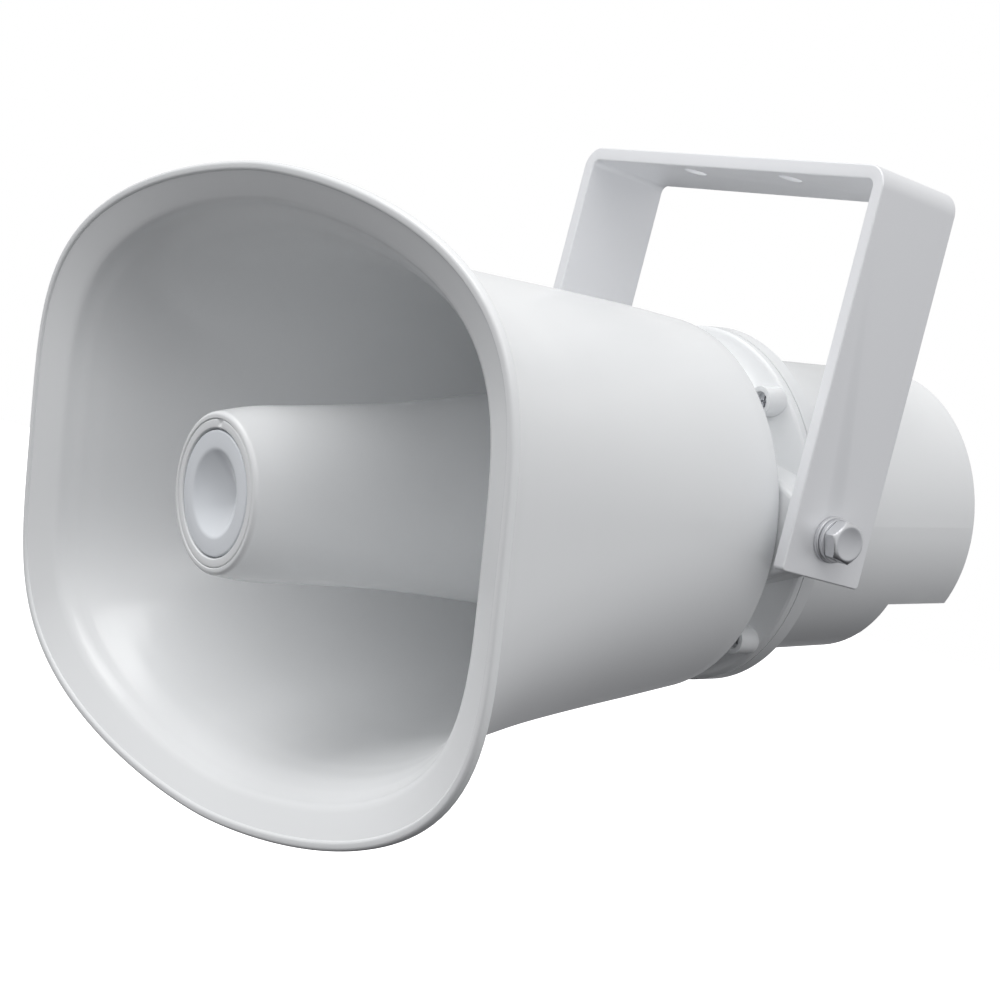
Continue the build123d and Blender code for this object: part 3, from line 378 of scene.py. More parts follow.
def moulded_nylon(tree, shader):
    """Polyamide 6, moulded: waxy light grey with a matt tool skin."""
    tint(tree, shader, grain(tree, 6, 3), ("#A7A9AD", "#B4B6BA"))
    gloss(tree, shader, grain(tree, 1.5, 3), 0.38, 0.5)
    relief(tree, shader, [(grain(tree, 0.45, 3).outputs["Fac"], 0.015)])
    shader.inputs["IOR"].default_value = 1.53


def phenolic_board(tree, shader):
    """Phenolic paper laminate, punched: tan board with fibre streaks."""
    fibres = grain(tree, 0.5, 4, (0.15, 1, 1))
    tint(tree, shader, fibres, ("#7C5430", "#9B6E42"))
    gloss(tree, shader, fibres, 0.4, 0.55)
    relief(tree, shader, [(fibres.outputs["Fac"], 0.01)])


def varnished_laminations(tree, shader):
    """Silicon steel sheets, stacked and dipped: dark grey with the edges of 0.5 mm sheets."""
    sheets = grain(tree, 0.5, 1, (0.02, 1, 0.02))
    shader.inputs["Metallic"].default_value = 0.7
    tint(tree, shader, sheets, ("#3A3B3F", "#5B5C61"))
    gloss(tree, shader, grain(tree, 2, 2), 0.35, 0.5)
    relief(tree, shader, [(sheets.outputs["Fac"], 0.05)])


def polyester_tape(tree, shader):
    """Polyester tape, wound over the coil: yellow film with soft wrinkles."""
    tint(tree, shader, grain(tree, 3, 2), ("#C9A52E", "#DDBB44"))
    gloss(tree, shader, grain(tree, 1, 2), 0.25, 0.4)
    relief(tree, shader, [(grain(tree, 1.5, 2, (0.3, 1, 1)).outputs["Fac"], 0.06)])


def moulded_black(tree, shader):
    """ABS, moulded with a spark-eroded skin: soft black."""
    tint(tree, shader, grain(tree, 2, 3), ("#17181A", "#212225"))
    gloss(tree, shader, grain(tree, 1, 2), 0.4, 0.55)
    relief(tree, shader, [(grain(tree, 0.4, 2).outputs["Fac"], 0.02)])
    shader.inputs["IOR"].default_value = 1.53


FINISHES.update(
    horn_plastic=moulded_asa,
    dish_plastic=moulded_acrylic_cap,
    bracket_coat=powder_coat,
    stainless=turned_stainless,
    zinc_steel=zinc_plate,
    insert_brass=turned_brass,
    seal_rubber=moulded_epdm,
    cast_aluminium=cast_aluminium,
    ferrite=sintered_ferrite,
    voice_film=phenolic_film,
    copper=wound_copper,
    grey_nylon=moulded_nylon,
    board_laminate=phenolic_board,
    lamination=varnished_laminations,
    winding_tape=polyester_tape,
    plug_plastic=moulded_black,
)


# ---------------------------------------------------------------- settings
class HornSizes(bpy.types.PropertyGroup):
    """Sizes of the moulded pieces."""

    bell_wall: bpy.props.FloatProperty(
        name="Bell wall", description="Thickness of the bell", default=2.8 * MM, unit="LENGTH"
    )
    lip_width: bpy.props.FloatProperty(
        name="Lip width",
        description="Width of the flat front of the mouth",
        default=3.3 * MM,
        unit="LENGTH",
    )
    lip_edge: bpy.props.FloatProperty(
        name="Lip rounding", description="Rounding of the lip's edges", default=1.2 * MM, unit="LENGTH"
    )
    mould_edge: bpy.props.FloatProperty(
        name="Moulded edge",
        description="Softening of the back plate's edges",
        default=0.7 * MM,
        unit="LENGTH",
    )
    coated_edge: bpy.props.FloatProperty(
        name="Coated edge", description="Softening of the bracket's edges", default=0.9 * MM, unit="LENGTH"
    )


class HornColours(bpy.types.PropertyGroup):
    """Colours of the two white finishes."""

    body_white: bpy.props.StringProperty(
        name="Body white", description="Moulded plastic, brighter patches, as sRGB hex", default="#EDEFF2"
    )
    body_shade: bpy.props.StringProperty(
        name="Body shade", description="Moulded plastic, duller patches, as sRGB hex", default="#E9EBEF"
    )
    coat_white: bpy.props.StringProperty(
        name="Coat white", description="Powder coat, brighter patches, as sRGB hex", default="#F0F1F4"
    )
    coat_shade: bpy.props.StringProperty(
        name="Coat shade", description="Powder coat, duller patches, as sRGB hex", default="#ECEDF1"
    )


class StageSettings(bpy.types.PropertyGroup):
    """The camera and the lights."""

    lens: bpy.props.FloatProperty(
        name="Lens", description="Focal length on a 36 mm sensor", default=87.48, subtype="DISTANCE_CAMERA"
    )
    room_strength: bpy.props.FloatProperty(
        name="Room light", description="Strength of the white room", default=0.72
    )
    room_ceiling: bpy.props.StringProperty(
        name="Ceiling", description="Brightness of the room overhead, as sRGB hex", default="#FFFFFF"
    )
    room_wall: bpy.props.StringProperty(
        name="Walls", description="Brightness of the room at eye level, as sRGB hex", default="#E2E3E6"
    )
    room_floor: bpy.props.StringProperty(
        name="Floor", description="Brightness of the room from below, as sRGB hex", default="#1C1C20"
    )
    key_power: bpy.props.FloatProperty(
        name="Key light",
        description="Power of the large light above and to the right",
        default=3.5,
        unit="POWER",
    )
    fill_power: bpy.props.FloatProperty(
        name="Front light",
        description="Power of the long light in front of the mouth",
        default=2.6,
        unit="POWER",
    )
    side_power: bpy.props.FloatProperty(
        name="Side light", description="Power of the low light beside the horn", default=1.6, unit="POWER"
    )
    mouth_power: bpy.props.FloatProperty(
        name="Mouth light", description="Power of the softbox above the mouth", default=9.0, unit="POWER"
    )


# ---------------------------------------------------------------- bell
# Depth, half width and half height of the bell's outer skin, in millimetres
BELL_STATIONS = (
    (3.0, 147.5, 103.6),
    (6.0, 139.5, 98.6),
    (10.0, 133.2, 94.6),
    (16.0, 127.6, 90.2),
    (24.0, 122.4, 87.0),
    (34.0, 117.0, 84.4),
    (50.0, 109.2, 81.4),
    (70.0, 99.9, 79.1),
    (90.0, 91.2, 76.9),
    (110.0, 83.8, 74.8),
    (130.0, 77.4, 72.6),
    (150.0, 71.7, 70.3),
    (177.2, 66.4, 66.4),
)
BELL_REAR = BELL_STATIONS[-1][0]
BELL_REAR_RADIUS = BELL_STATIONS[-1][1]
MOUTH_HALF_WIDTH = 150.0
MOUTH_HALF_HEIGHT = 105.8
MOUTH_POWERS = (1.73, 4.03)
POWER_FADE = 1.63
BELL_COLUMNS = 224
BELL_ROWS = 72
# Above 1, the rows of the mesh crowd towards the mouth, where the flare bends most
ROW_CROWDING = 1.5
HALVINGS = 40
LIP_DEPTH = 3.0
# The lip's inner arc stops short of square, where the flare inside takes over
LIP_INNER_TURN = radians(70)
FLARE_START = LIP_DEPTH + 1.2
REAR_CORNER = 2.0
REAR_CORNER_ROOM = 3.0
SPIGOT_RADIUS = 38.1


def quarter(whole=pi / 2):
    """Even turns from nothing up to a quarter circle or another angle."""
    return [whole * step / ARC_STEPS for step in range(ARC_STEPS + 1)]


def oval_ring(depth, half_width, half_height):
    """Points of |x/a|^p + |z/b|^q = 1 at even angles; the powers fade to a circle at the rear."""
    strength = max(0.0, 1 - max(0.0, depth) / BELL_REAR) ** POWER_FADE
    across, up = (2 + (power - 2) * strength for power in MOUTH_POWERS)
    angles = np.linspace(0, 2 * pi, BELL_COLUMNS, endpoint=False)
    inside, outside = np.zeros(BELL_COLUMNS), np.full(BELL_COLUMNS, half_width + half_height)
    for _ in range(HALVINGS):
        middle = (inside + outside) / 2
        x = np.abs(middle * np.cos(angles)) / half_width
        z = np.abs(middle * np.sin(angles)) / half_height
        short = x**across + z**up < 1
        inside, outside = np.where(short, middle, inside), np.where(short, outside, middle)
    return [(r * cos(a), depth, r * sin(a)) for r, a in zip(inside, angles)]


def through(stations, depth):
    """Half width and half height at a depth, on a smooth curve through the stations."""
    places = np.array([row[0] for row in stations])
    index = int(np.clip(np.searchsorted(places, depth) - 1, 0, len(stations) - 2))
    run = places[index + 1] - places[index]
    part = (depth - places[index]) / run
    found = []
    for column in (1, 2):
        values = np.array([row[column] for row in stations])
        slopes = np.gradient(values, places)
        found.append(
            (1 + 2 * part) * (1 - part) ** 2 * values[index]
            + part * (1 - part) ** 2 * run * slopes[index]
            + part**2 * (3 - 2 * part) * values[index + 1]
            + part**2 * (part - 1) * run * slopes[index + 1]
        )
    return found


def lip_rings(width, edge):
    """Rings round the lip from its rear corner over its front to where the flare starts."""
    rings = []
    for turn in quarter():
        inset = edge / 2 * (1 - sin(turn))
        rings.append((LIP_DEPTH - edge / 2 * (1 - cos(turn)), inset))
    for turn in quarter():
        rings.append((edge * (1 - sin(turn)), edge * (1 - cos(turn))))
    for turn in quarter(LIP_INNER_TURN):
        rings.append((edge * (1 - cos(turn)), width - edge * (1 - sin(turn))))
    return [(depth, MOUTH_HALF_WIDTH - inset, MOUTH_HALF_HEIGHT - inset) for depth, inset in rings]


def inner_rings(depths, wall):
    """Rings of the inner skin: the outer one moved in by the wall, square to the flare."""
    rings = []
    for depth in depths:
        sizes = through(BELL_STATIONS, depth)
        ahead = through(BELL_STATIONS, max(LIP_DEPTH, depth - 1))
        slopes = [(a - s) / min(1, depth - LIP_DEPTH) for a, s in zip(ahead, sizes)]
        rings.append((depth, *[s - wall * sqrt(1 + k * k) for s, k in zip(sizes, slopes)]))
    return rings


def rear_rings(wall):
    """Round rings of the rear wall: its inner corner, its bore and its outer corner."""
    face = BELL_REAR - wall
    rings = []
    for turn in quarter():
        radius = BELL_REAR_RADIUS - wall - REAR_CORNER * (1 - cos(turn))
        rings.append((face - REAR_CORNER * (1 - sin(turn)), radius))
    rings.append((face, SPIGOT_RADIUS))
    rings.append((BELL_REAR, SPIGOT_RADIUS))
    for turn in quarter():
        radius = BELL_REAR_RADIUS - REAR_CORNER * (1 - sin(turn))
        rings.append((BELL_REAR - REAR_CORNER * (1 - cos(turn)), radius))
    return [(depth, radius, radius) for depth, radius in rings]


def bell_outline(wall, lip_width, lip_edge):
    """Rings of the bell as (depth, half width, half height): over the lip, in and back round."""
    length = BELL_REAR - LIP_DEPTH
    shares = [(row / BELL_ROWS) ** ROW_CROWDING for row in range(BELL_ROWS + 1)]
    depths = [LIP_DEPTH + length * share for share in shares]
    inside = [depth for depth in depths[1:] if depth > FLARE_START]
    inside = [depth for depth in inside if depth <= BELL_REAR - wall - REAR_CORNER_ROOM]
    behind = [depth for depth in reversed(depths) if depth < BELL_REAR - REAR_CORNER]
    outside = [(depth, *through(BELL_STATIONS, depth)) for depth in behind]
    return lip_rings(lip_width, lip_edge) + inner_rings(inside, wall) + rear_rings(wall) + outside


class HORN_OT_bell(bpy.types.Operator):
    """Make the flared bell with its rolled lip"""

    bl_idname = "horn.bell"
    bl_label = "Bell"

    def execute(self, context):
        sizes = context.scene.horn_sizes
        outline = bell_outline(sizes.bell_wall / MM, sizes.lip_width / MM, sizes.lip_edge / MM)
        vertices = [point for ring in outline for point in oval_ring(*ring)]
        faces = grid_faces(len(outline), BELL_COLUMNS, closed=True)
        piece("bell_moulding", vertices, faces, "horn", "horn_bell")
        return {"FINISHED"}


# ---------------------------------------------------------------- reflector and nose
# Radius and depth along the reflector's outside, in millimetres
REFLECTOR_CURVE = ((28.0, 6.0), (29.0, 25.0), (31.2, 60.0), (36.0, 100.0), (41.3, 150.0), (42.6, 163.0))
REFLECTOR_WALL = 2.5
REFLECTOR_ROWS = 40
ROLL_STEPS = 9
NOSE_FACE = -5.3
NOSE_RADIUS = 26.4
# The nose's rim turns from its face to its side over this depth and this radius
NOSE_TURN = (2.0, 1.6)
NOSE_STEPS = 8
SEAT_RADIUS = 23.8
SEAT_DEPTH = 6.0
SEAT_EDGE = 0.3
# The floor behind the seat, the post on it, and the screw's shank and head in the post
FLOOR_RADIUS = 25.5
FLOOR_DEPTH = SEAT_DEPTH + 3
POST_RADIUS = 5.5
POST_END = 24.0
SHANK_RADIUS = 2.1
HEAD_RADIUS = 4.2
HEAD_DEPTH = SEAT_DEPTH + 2.4
FIN_COUNT = 3
FIN_REACH = (15.0, 28.4)
FIN_DEPTHS = (34.0, 50.0)
FIN_THICKNESS = 2.0
RING_RADII = (20.75, 23.7)
RING_TAIL_RADIUS = 21.7
RING_EDGE = 0.5
LEDGE_RADIUS = 17.7
LEDGE_DEPTH = NOSE_FACE + 2.7
LEDGE_THICKNESS = 2.0
NOTCH_HALF_WIDTH = 1.5
NOTCH_SINK = 1.0
NOTCH_ABOVE = 22.0
CAP_FACE = NOSE_FACE + 0.25
CAP_RADIUS = 20.2
CAP_SEAT_RADIUS = 17.3
CAP_RIM = 2.5
DISH_RADIUS = 14.2
DISH_DEPTH = 8.3
DISH_BACK = 10.1


def reflector_outline():
    """(radius, depth) round the reflector: nose rim, long flare, rolled rear edge, inside, post."""
    front = NOSE_FACE + NOSE_TURN[0]
    rear = REFLECTOR_CURVE[-1][1]
    stations = [(front, NOSE_RADIUS, NOSE_RADIUS)]
    stations += [(depth, radius, radius) for radius, depth in REFLECTOR_CURVE]
    depths = [front + (rear - front) * row / REFLECTOR_ROWS for row in range(REFLECTOR_ROWS + 1)]
    outside = [(through(stations, depth)[0], depth) for depth in depths]
    nose = [(SEAT_RADIUS, NOSE_FACE + SEAT_EDGE), (SEAT_RADIUS + SEAT_EDGE, NOSE_FACE)]
    for step in range(NOSE_STEPS):
        turn = pi / 2 * step / NOSE_STEPS
        radius = NOSE_RADIUS - NOSE_TURN[1] * (1 - sin(turn))
        nose.append((radius, NOSE_FACE + NOSE_TURN[0] * (1 - cos(turn))))
    half_wall = REFLECTOR_WALL / 2
    roll = []
    for step in range(1, ROLL_STEPS):
        turn = pi * step / ROLL_STEPS
        roll.append((outside[-1][0] - half_wall * (1 - cos(turn)), rear + half_wall * sin(turn)))
    inside = [(r - REFLECTOR_WALL, depth) for r, depth in reversed(outside) if depth > FLOOR_DEPTH + 1]
    floor = [
        (FLOOR_RADIUS, FLOOR_DEPTH),
        (POST_RADIUS, FLOOR_DEPTH),
        (POST_RADIUS, POST_END),
        (SHANK_RADIUS, POST_END),
        (SHANK_RADIUS, HEAD_DEPTH),
        (HEAD_RADIUS, HEAD_DEPTH),
        (HEAD_RADIUS, SEAT_DEPTH),
        (SEAT_RADIUS, SEAT_DEPTH),
    ]
    return nose + outside + roll + inside + floor


def fin(angle):
    """A thin plate inside the reflector that stands out from the axis at an angle."""
    out = Vector((cos(angle), 0, sin(angle)))
    side = Vector((-sin(angle), 0, cos(angle))) * FIN_THICKNESS / 2
    inner, outer = FIN_REACH
    corners = []
    for depth in FIN_DEPTHS:
        for radius, sign in ((inner, -1), (outer, -1), (outer, 1), (inner, 1)):
            corners.append(tuple(out * radius + side * sign + Vector((0, depth, 0))))
    faces = [(0, 1, 2, 3), (7, 6, 5, 4)]
    faces += [(i, i + 4, (i + 1) % 4 + 4, (i + 1) % 4) for i in range(4)]
    return corners, faces


class HORN_OT_reflector(bpy.types.Operator):
    """Make the centre tube that turns the sound forward"""

    bl_idname = "horn.reflector"
    bl_label = "Reflector"

    def execute(self, context):
        fins = [fin(pi / 2 + 2 * pi * step / FIN_COUNT) for step in range(FIN_COUNT)]
        vertices, faces = joined(turned(reflector_outline()), *fins)
        piece("reflector_moulding", vertices, faces, "horn", "reflector")
        return {"FINISHED"}


def trim_ring():
    """The ring in the nose: a rim, a ledge for the cap, a tail, and a key notch at the top."""
    inner, outer = RING_RADII
    vertices, faces = turned(rounded([
        (outer, NOSE_FACE + 0.05, RING_EDGE),
        (inner, NOSE_FACE + 0.05, RING_EDGE),
        (inner, LEDGE_DEPTH, 0.1),
        (LEDGE_RADIUS, LEDGE_DEPTH, 0.1),
        (LEDGE_RADIUS, LEDGE_DEPTH + LEDGE_THICKNESS, 0),
        (RING_TAIL_RADIUS, LEDGE_DEPTH + LEDGE_THICKNESS, 0),
        (RING_TAIL_RADIUS, SEAT_DEPTH, 0),
        (outer, SEAT_DEPTH, 0),
    ]))
    sunk = []
    for x, depth, z in vertices:
        in_notch = abs(x) < NOTCH_HALF_WIDTH and z > NOTCH_ABOVE and depth < NOSE_FACE + 1
        sunk.append((x, depth + NOTCH_SINK if in_notch else depth, z))
    return sunk, faces


def dished_cap():
    """The cap in the ring: a flat rim round a shallow cone, hollow behind."""
    return turned(rounded([
        (0, CAP_FACE + DISH_DEPTH, 0),
        (DISH_RADIUS, CAP_FACE, 3.0),
        (CAP_RADIUS, CAP_FACE, 0.5),
        (CAP_RADIUS, CAP_FACE + CAP_RIM, 0.2),
        (CAP_SEAT_RADIUS, CAP_FACE + CAP_RIM, 0.2),
        (0, CAP_FACE + DISH_BACK, 0),
    ]))


class HORN_OT_nose(bpy.types.Operator):
    """Make the trim ring and the dished cap in the reflector's nose"""

    bl_idname = "horn.nose"
    bl_label = "Nose ring and cap"

    def execute(self, context):
        piece("nose_trim_ring", *trim_ring(), "horn", "nose_ring")
        piece("nose_cap", *dished_cap(), "horn", "dish_insert")
        return {"FINISHED"}


# ---------------------------------------------------------------- pivot hardware
BOLT_COLUMNS = 144
BOLT_HALF_FLATS = 6.5
# How far out from the washer, and the radius that trims the hexagon's corners there
BOLT_HEAD = (
    (0.0, 6.9),
    (0.25, 7.25),
    (0.5, 9.0),
    (3.85, 9.0),
    (4.1, 7.45),
    (4.4, 7.1),
    (4.7, 6.75),
    (5.0, 6.35),
    (5.18, 6.05),
    (5.3, 5.75),
    (5.3, 5.3),
    (5.05, 4.7),
    (5.0, 0.0),
)
BOLT_SHANK = ((-25.0, 0.0), (-25.0, 3.2), (-24.2, 3.95), (0.0, 3.95))
BOLT_SPIN = radians(10)
FLAT_WASHER_RADII = (4.2, 8.0)
FLAT_WASHER_GAP = 0.1
FLAT_WASHER_COLUMNS = 96
SPRING_WASHER_RADII = (4.05, 7.4)
SPRING_WASHER_COLUMNS = 90
SPRING_WASHER_OPENING = radians(11)
SPRING_WASHER_CUT = radians(-50)
# Room at each end of the coil, and how far its cut ends stand from its middle
SPRING_WASHER_SET = (0.15, 0.14)


def side_frame(side):
    """A frame at the pivot whose first axis points out of one side of the horn."""
    out = ACROSS * side
    return Matrix.Translation(PIVOT) @ Matrix((out, BACK, out.cross(BACK))).transposed().to_4x4()


def bolt_shape(start):
    """A hexagon-headed bolt along x: chamfered head with a dished top, and its shank."""
    rings = []
    for reach, radius in BOLT_SHANK:
        rings.append([(start + reach, u, v) for u, v in circle(radius, BOLT_COLUMNS)])
    sixth = pi / 3
    for reach, cone in BOLT_HEAD:
        ring = []
        for column in range(BOLT_COLUMNS):
            angle = 2 * pi * column / BOLT_COLUMNS
            from_flat = (angle + sixth / 2) % sixth - sixth / 2
            radius = min(BOLT_HALF_FLATS / cos(from_flat), cone)
            turn = angle + BOLT_SPIN
            ring.append((start + reach, radius * cos(turn), radius * sin(turn)))
        rings.append(ring)
    vertices = [point for ring in rings for point in ring]
    return vertices, grid_faces(len(rings), BOLT_COLUMNS)


def washer_shape(start, end):
    """A flat washer along x with stamped, slightly rounded edges."""
    inner, outer = FLAT_WASHER_RADII
    outline = rounded([(inner, start, 0.15), (outer, start, 0.2), (outer, end, 0.45), (inner, end, 0.3)])
    vertices = []
    for radius, reach in outline:
        vertices += [(reach, u, v) for u, v in circle(radius, FLAT_WASHER_COLUMNS)]
    return vertices, grid_faces(len(outline), FLAT_WASHER_COLUMNS, closed=True)


def spring_washer_shape(start, end):
    """A split washer along x: one coil of square wire whose cut ends stand slightly apart."""
    inner, outer = SPRING_WASHER_RADII
    room, stand = SPRING_WASHER_SET
    low, high = room, end - start - room
    section = rounded([(inner, low, 0.25), (outer, low, 0.25), (outer, high, 0.25), (inner, high, 0.25)])
    sweep = 2 * pi - SPRING_WASHER_OPENING
    vertices = []
    for column in range(SPRING_WASHER_COLUMNS + 1):
        part = column / SPRING_WASHER_COLUMNS
        angle = SPRING_WASHER_CUT + SPRING_WASHER_OPENING / 2 + sweep * part
        rise = stand * (2 * part - 1)
        for radius, reach in section:
            vertices.append((start + reach + rise, radius * cos(angle), radius * sin(angle)))
    count = len(section)
    faces = grid_faces(SPRING_WASHER_COLUMNS + 1, count)
    last = SPRING_WASHER_COLUMNS * count
    faces.append(tuple(range(count)))
    faces.append(tuple(reversed(range(last, last + count))))
    return vertices, faces


def both_sides(name, node, shape):
    """The same piece on each side of the horn, as one object."""
    vertices, faces = shape
    sides = []
    for side in (-1, 1):
        placed = side_frame(side)
        sides.append(([tuple((placed @ (Vector(v) * MM)) / MM) for v in vertices], faces))
    return piece(name, *joined(*sides), "horn", node, place=Matrix.Identity(4))


class HORN_OT_pivots(bpy.types.Operator):
    """Make the two bolts that the horn tilts on, with their washers"""

    bl_idname = "horn.pivots"
    bl_label = "Pivot bolts"

    def execute(self, context):
        nodes = ("bracket", "flat_washers", "spring_washers")
        arm, flat_end, spring_end = (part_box(node)[1].x / MM for node in nodes)
        flat = washer_shape(arm + FLAT_WASHER_GAP, flat_end)
        both_sides("pivot_flat_washers", "flat_washers", flat)
        both_sides("pivot_spring_washers", "spring_washers", spring_washer_shape(flat_end, spring_end))
        both_sides("pivot_hex_bolts", "pivot_bolts", bolt_shape(spring_end))
        return {"FINISHED"}


# ---------------------------------------------------------------- softened pieces
WELD = 0.004 * MM
# Neighbouring faces closer than this are one flat face
FLAT_ANGLE = radians(0.6)
# Edges that turn more than this are crisp, and are softened
CRISP_ANGLE = radians(32)
GLAND_BODY_EDGE = 0.25 * MM
GLAND_NUT_EDGE = 0.3 * MM


def softened(name, node, body, width, segments=3):
    """A CAD node's own shape with every crisp edge rounded off, standing for the node."""
    shape = bmesh.new()
    shape.from_mesh(frame["nodes"][node].data)
    bmesh.ops.remove_doubles(shape, verts=shape.verts, dist=WELD)
    bmesh.ops.dissolve_limit(shape, angle_limit=FLAT_ANGLE, verts=shape.verts, edges=shape.edges)
    bmesh.ops.recalc_face_normals(shape, faces=shape.faces)
    mesh = bpy.data.meshes.new(name)
    shape.to_mesh(mesh)
    shape.free()
    made = bpy.data.objects.new(name, mesh)
    bpy.context.scene.collection.objects.link(made)
    bevel = made.modifiers.new("edges", "BEVEL")
    bevel.width = width
    bevel.segments = segments
    bevel.limit_method = "ANGLE"
    bevel.angle_limit = CRISP_ANGLE
    bevel.miter_outer = "MITER_ARC"
    evaluated = made.evaluated_get(bpy.context.evaluated_depsgraph_get())
    baked = bpy.data.meshes.new_from_object(evaluated)
    made.modifiers.clear()
    made.data = baked
    return stand_in(made, node, body, sharp=30)


class HORN_OT_bracket(bpy.types.Operator):
    """Make the bent steel bracket with its coated, softened edges"""

    bl_idname = "horn.bracket"
    bl_label = "Bracket"

    def execute(self, context):
        edge = context.scene.horn_sizes.coated_edge
        softened("bracket_bent_steel", "bracket", "bracket", edge, segments=4)
        return {"FINISHED"}


class HORN_OT_rear(bpy.types.Operator):
    """Make the back plate and the cable gland with their moulded edges"""

    bl_idname = "horn.rear"
    bl_label = "Back plate and gland"

    def execute(self, context):
        edge = context.scene.horn_sizes.mould_edge
        softened("back_plate_moulding", "back_plate", "horn", edge)
        softened("cable_gland_body", "gland_body", "horn", GLAND_BODY_EDGE)
        softened("cable_gland_nut", "gland_nut", "horn", GLAND_NUT_EDGE)
        return {"FINISHED"}


# ---------------------------------------------------------------- carried-over pieces
class HORN_OT_finishes(bpy.types.Operator):
    """Give every piece that keeps its designed shape its finish"""

    bl_idname = "horn.finishes"
    bl_label = "Finishes"

    def execute(self, context):
        for part in frame["record"]["subparts"]:
            made = frame["nodes"][part["node"]]
            made.data.materials.clear()
            made.data.materials.append(finish(part["material_slot"]))
        return {"FINISHED"}


# ---------------------------------------------------------------- stage
FLOOR_DROP = 0.18
FLOOR_HALF = 12.0
FLOOR_GLOW = 0.9
SENSOR_WIDTH = 36.0
VIEW_END = 50.0
# The camera's right, up and back directions and its place, in metres
CAMERA_RIGHT = (0.57979, 0.77434, 0.25349)
CAMERA_UP = (-0.15338, -0.20183, 0.96734)
CAMERA_BACK = (0.80020, -0.59973, 0.00175)
CAMERA_PLACE = (0.6707, -0.5807, -0.1392)
# Where the room's floor colour ends, its walls stand and its ceiling starts, from down 0 to up 1
ROOM_HEIGHTS = (0.22, 0.5, 0.75)


def area_light(name, aim, offset, power, width, height):
    """A rectangular soft light that stands off from a spot and points at it."""
    lamp = bpy.data.lights.new(name, "AREA")
    lamp.shape = "RECTANGLE"
    lamp.size, lamp.size_y = width, height
    lamp.energy = power
    made = bpy.data.objects.new(name, lamp)
    made.location = aim + Vector(offset)
    made.rotation_euler = (-Vector(offset)).to_track_quat("-Z", "Y").to_euler()
    bpy.context.scene.collection.objects.link(made)


def studio_room(settings):
    """A white room that lights the horn from above and from its walls, and hardly from below."""
    room = bpy.data.worlds.new("studio_room")
    room.use_nodes = True
    tree = room.node_tree
    tree.nodes.clear()
    way = add(tree, "TexCoord")
    parts = add(tree, "SeparateXYZ", {"Vector": way.outputs["Generated"]})
    height = add(tree, "MapRange", {"Value": parts.outputs["Z"]}, From_Min=-1.0, From_Max=1.0)
    ramp = add(tree, "ValToRGB", {"Fac": height.outputs["Result"]})
    ground, walls, ceiling = ROOM_HEIGHTS
    first, last = ramp.color_ramp.elements
    first.position, first.color = ground, linear(settings.room_floor)
    last.position, last.color = ceiling, linear(settings.room_ceiling)
    wall = ramp.color_ramp.elements.new(walls)
    wall.color = linear(settings.room_wall)
    light = add(tree, "Background", {"Color": ramp.outputs["Color"]}, Strength=settings.room_strength)
    sight = add(tree, "Background", Color=linear("#FFFFFF"), Strength=1.0)
    ray = add(tree, "LightPath")
    sockets = {0: ray.outputs["Is Camera Ray"], 1: light.outputs[0], 2: sight.outputs[0]}
    both = add(tree, "MixShader", sockets)
    add(tree, "OutputWorld", {"Surface": both.outputs[0]})
    return room


def studio_floor(level):
    """A plain pale floor, wide enough to run out of sight, with a glow that keeps it white."""
    mesh = bpy.data.meshes.new("studio_floor")
    corners = [(x * FLOOR_HALF, y * FLOOR_HALF, level) for x, y in ((-1, -1), (1, -1), (1, 1), (-1, 1))]
    mesh.from_pydata(corners, [], [(0, 1, 2, 3)])
    floor = bpy.data.objects.new("studio_floor", mesh)
    # kept out of the horn's light and reflections, so that its underside stays in shade
    floor.visible_diffuse = False
    floor.visible_glossy = False
    bpy.context.scene.collection.objects.link(floor)
    paper = bpy.data.materials.new("studio_paper")
    paper.use_nodes = True
    shader = paper.node_tree.nodes["Principled BSDF"]
    tint(paper.node_tree, shader, grain(paper.node_tree, 300, 2), ("#F7F7F8", "#FAFAFA"))
    shader.inputs["Roughness"].default_value = 0.9
    shader.inputs["Emission Color"].default_value = linear("#FFFFFF")
    shader.inputs["Emission Strength"].default_value = FLOOR_GLOW
    mesh.materials.append(paper)


def studio_camera(lens):
    """The camera that the horn is shown through."""
    data = bpy.data.cameras.new("camera")
    data.lens = lens
    data.sensor_width = SENSOR_WIDTH
    data.clip_end = VIEW_END
    camera = bpy.data.objects.new("camera", data)
    turn = Matrix((CAMERA_RIGHT, CAMERA_UP, CAMERA_BACK)).transposed().to_4x4()
    camera.matrix_world = Matrix.Translation(CAMERA_PLACE) @ turn
    bpy.context.scene.collection.objects.link(camera)
    bpy.context.scene.camera = camera


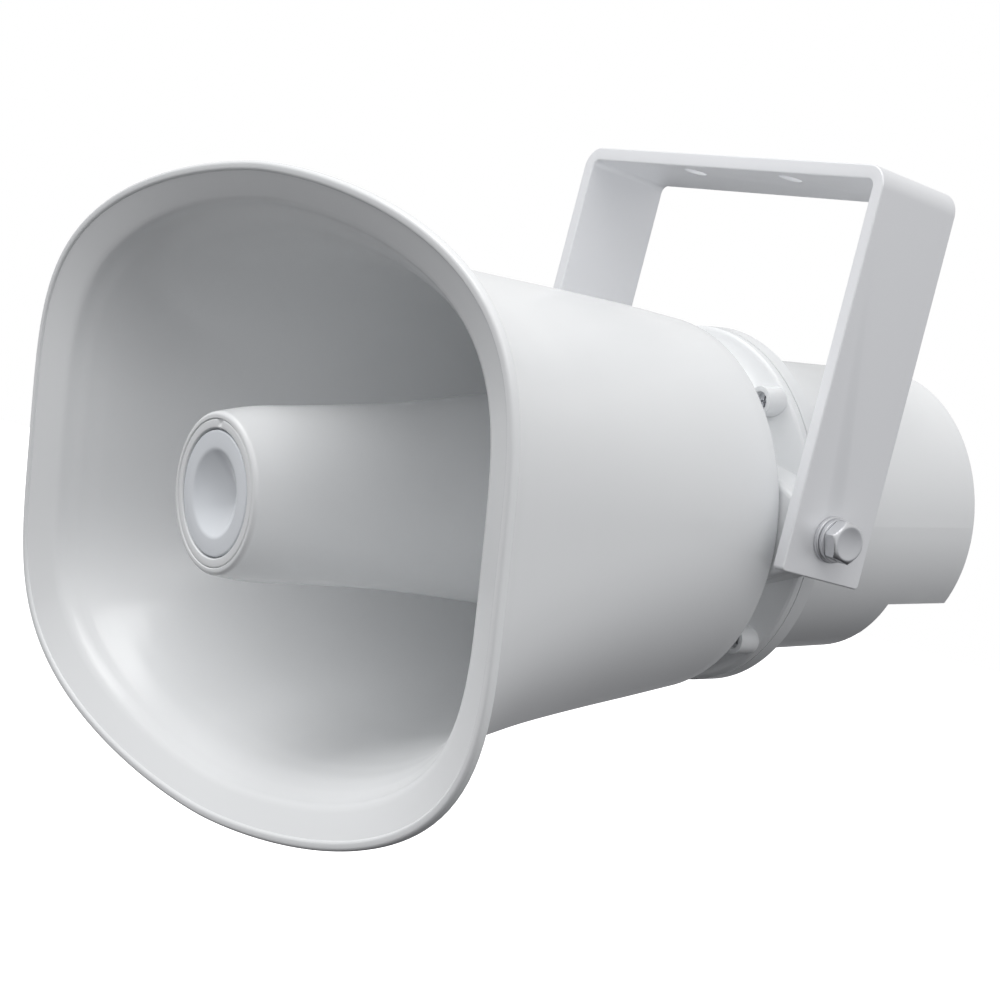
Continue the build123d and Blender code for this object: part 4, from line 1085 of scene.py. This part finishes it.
class HORN_OT_stage(bpy.types.Operator):
    """Make the floor, the lights and the camera"""

    bl_idname = "horn.stage"
    bl_label = "Studio"

    def execute(self, context):
        scene = context.scene
        settings = scene.horn_stage
        low, high = (Vector(corner) for corner in CAD_BOX)
        middle = (low + high) / 2
        studio_floor(low.z - FLOOR_DROP)
        scene.world = studio_room(settings)
        scene.view_settings.view_transform = "Standard"
        area_light("key_light", middle, (0.9, -0.5, 1.1), settings.key_power, 0.9, 0.9)
        area_light("front_light", middle, (-0.8, -1.1, -0.7), settings.fill_power, 1.3, 1.0)
        area_light("side_light", middle, (1.5, -0.2, -0.5), settings.side_power, 0.9, 1.2)
        # a softbox whose corner shows as a soft wedge in the bell's glossy inside
        area_light("mouth_light", MOUTH, (-0.46, -0.74, 1.3), settings.mouth_power, 1.1, 0.8)
        studio_camera(settings.lens)
        return {"FINISHED"}


class HORN_PT_panel(bpy.types.Panel):
    """Lists the operators in the order they run"""

    bl_idname = "HORN_PT_panel"
    bl_label = "Horn loudspeaker"
    bl_space_type = "VIEW_3D"
    bl_region_type = "UI"
    bl_category = "Horn"

    def draw(self, context):
        for operator in OPERATORS:
            self.layout.operator(operator.bl_idname)


OPERATORS = (
    HORN_OT_finishes,
    HORN_OT_bell,
    HORN_OT_reflector,
    HORN_OT_nose,
    HORN_OT_pivots,
    HORN_OT_bracket,
    HORN_OT_rear,
    HORN_OT_stage,
)
CLASSES = (HornSizes, HornColours, StageSettings, *OPERATORS, HORN_PT_panel)


def register():
    for one in CLASSES:
        bpy.utils.register_class(one)
    bpy.types.Scene.horn_sizes = bpy.props.PointerProperty(type=HornSizes)
    bpy.types.Scene.horn_colours = bpy.props.PointerProperty(type=HornColours)
    bpy.types.Scene.horn_stage = bpy.props.PointerProperty(type=StageSettings)


def unregister():
    del bpy.types.Scene.horn_sizes
    del bpy.types.Scene.horn_colours
    del bpy.types.Scene.horn_stage
    for one in reversed(CLASSES):
        bpy.utils.unregister_class(one)


def main():
    """Register the add-on, then make everything."""
    register()
    for operator in OPERATORS:
        group, name = operator.bl_idname.split(".")
        getattr(getattr(bpy.ops, group), name)()


if __name__ == "__main__":
    main()
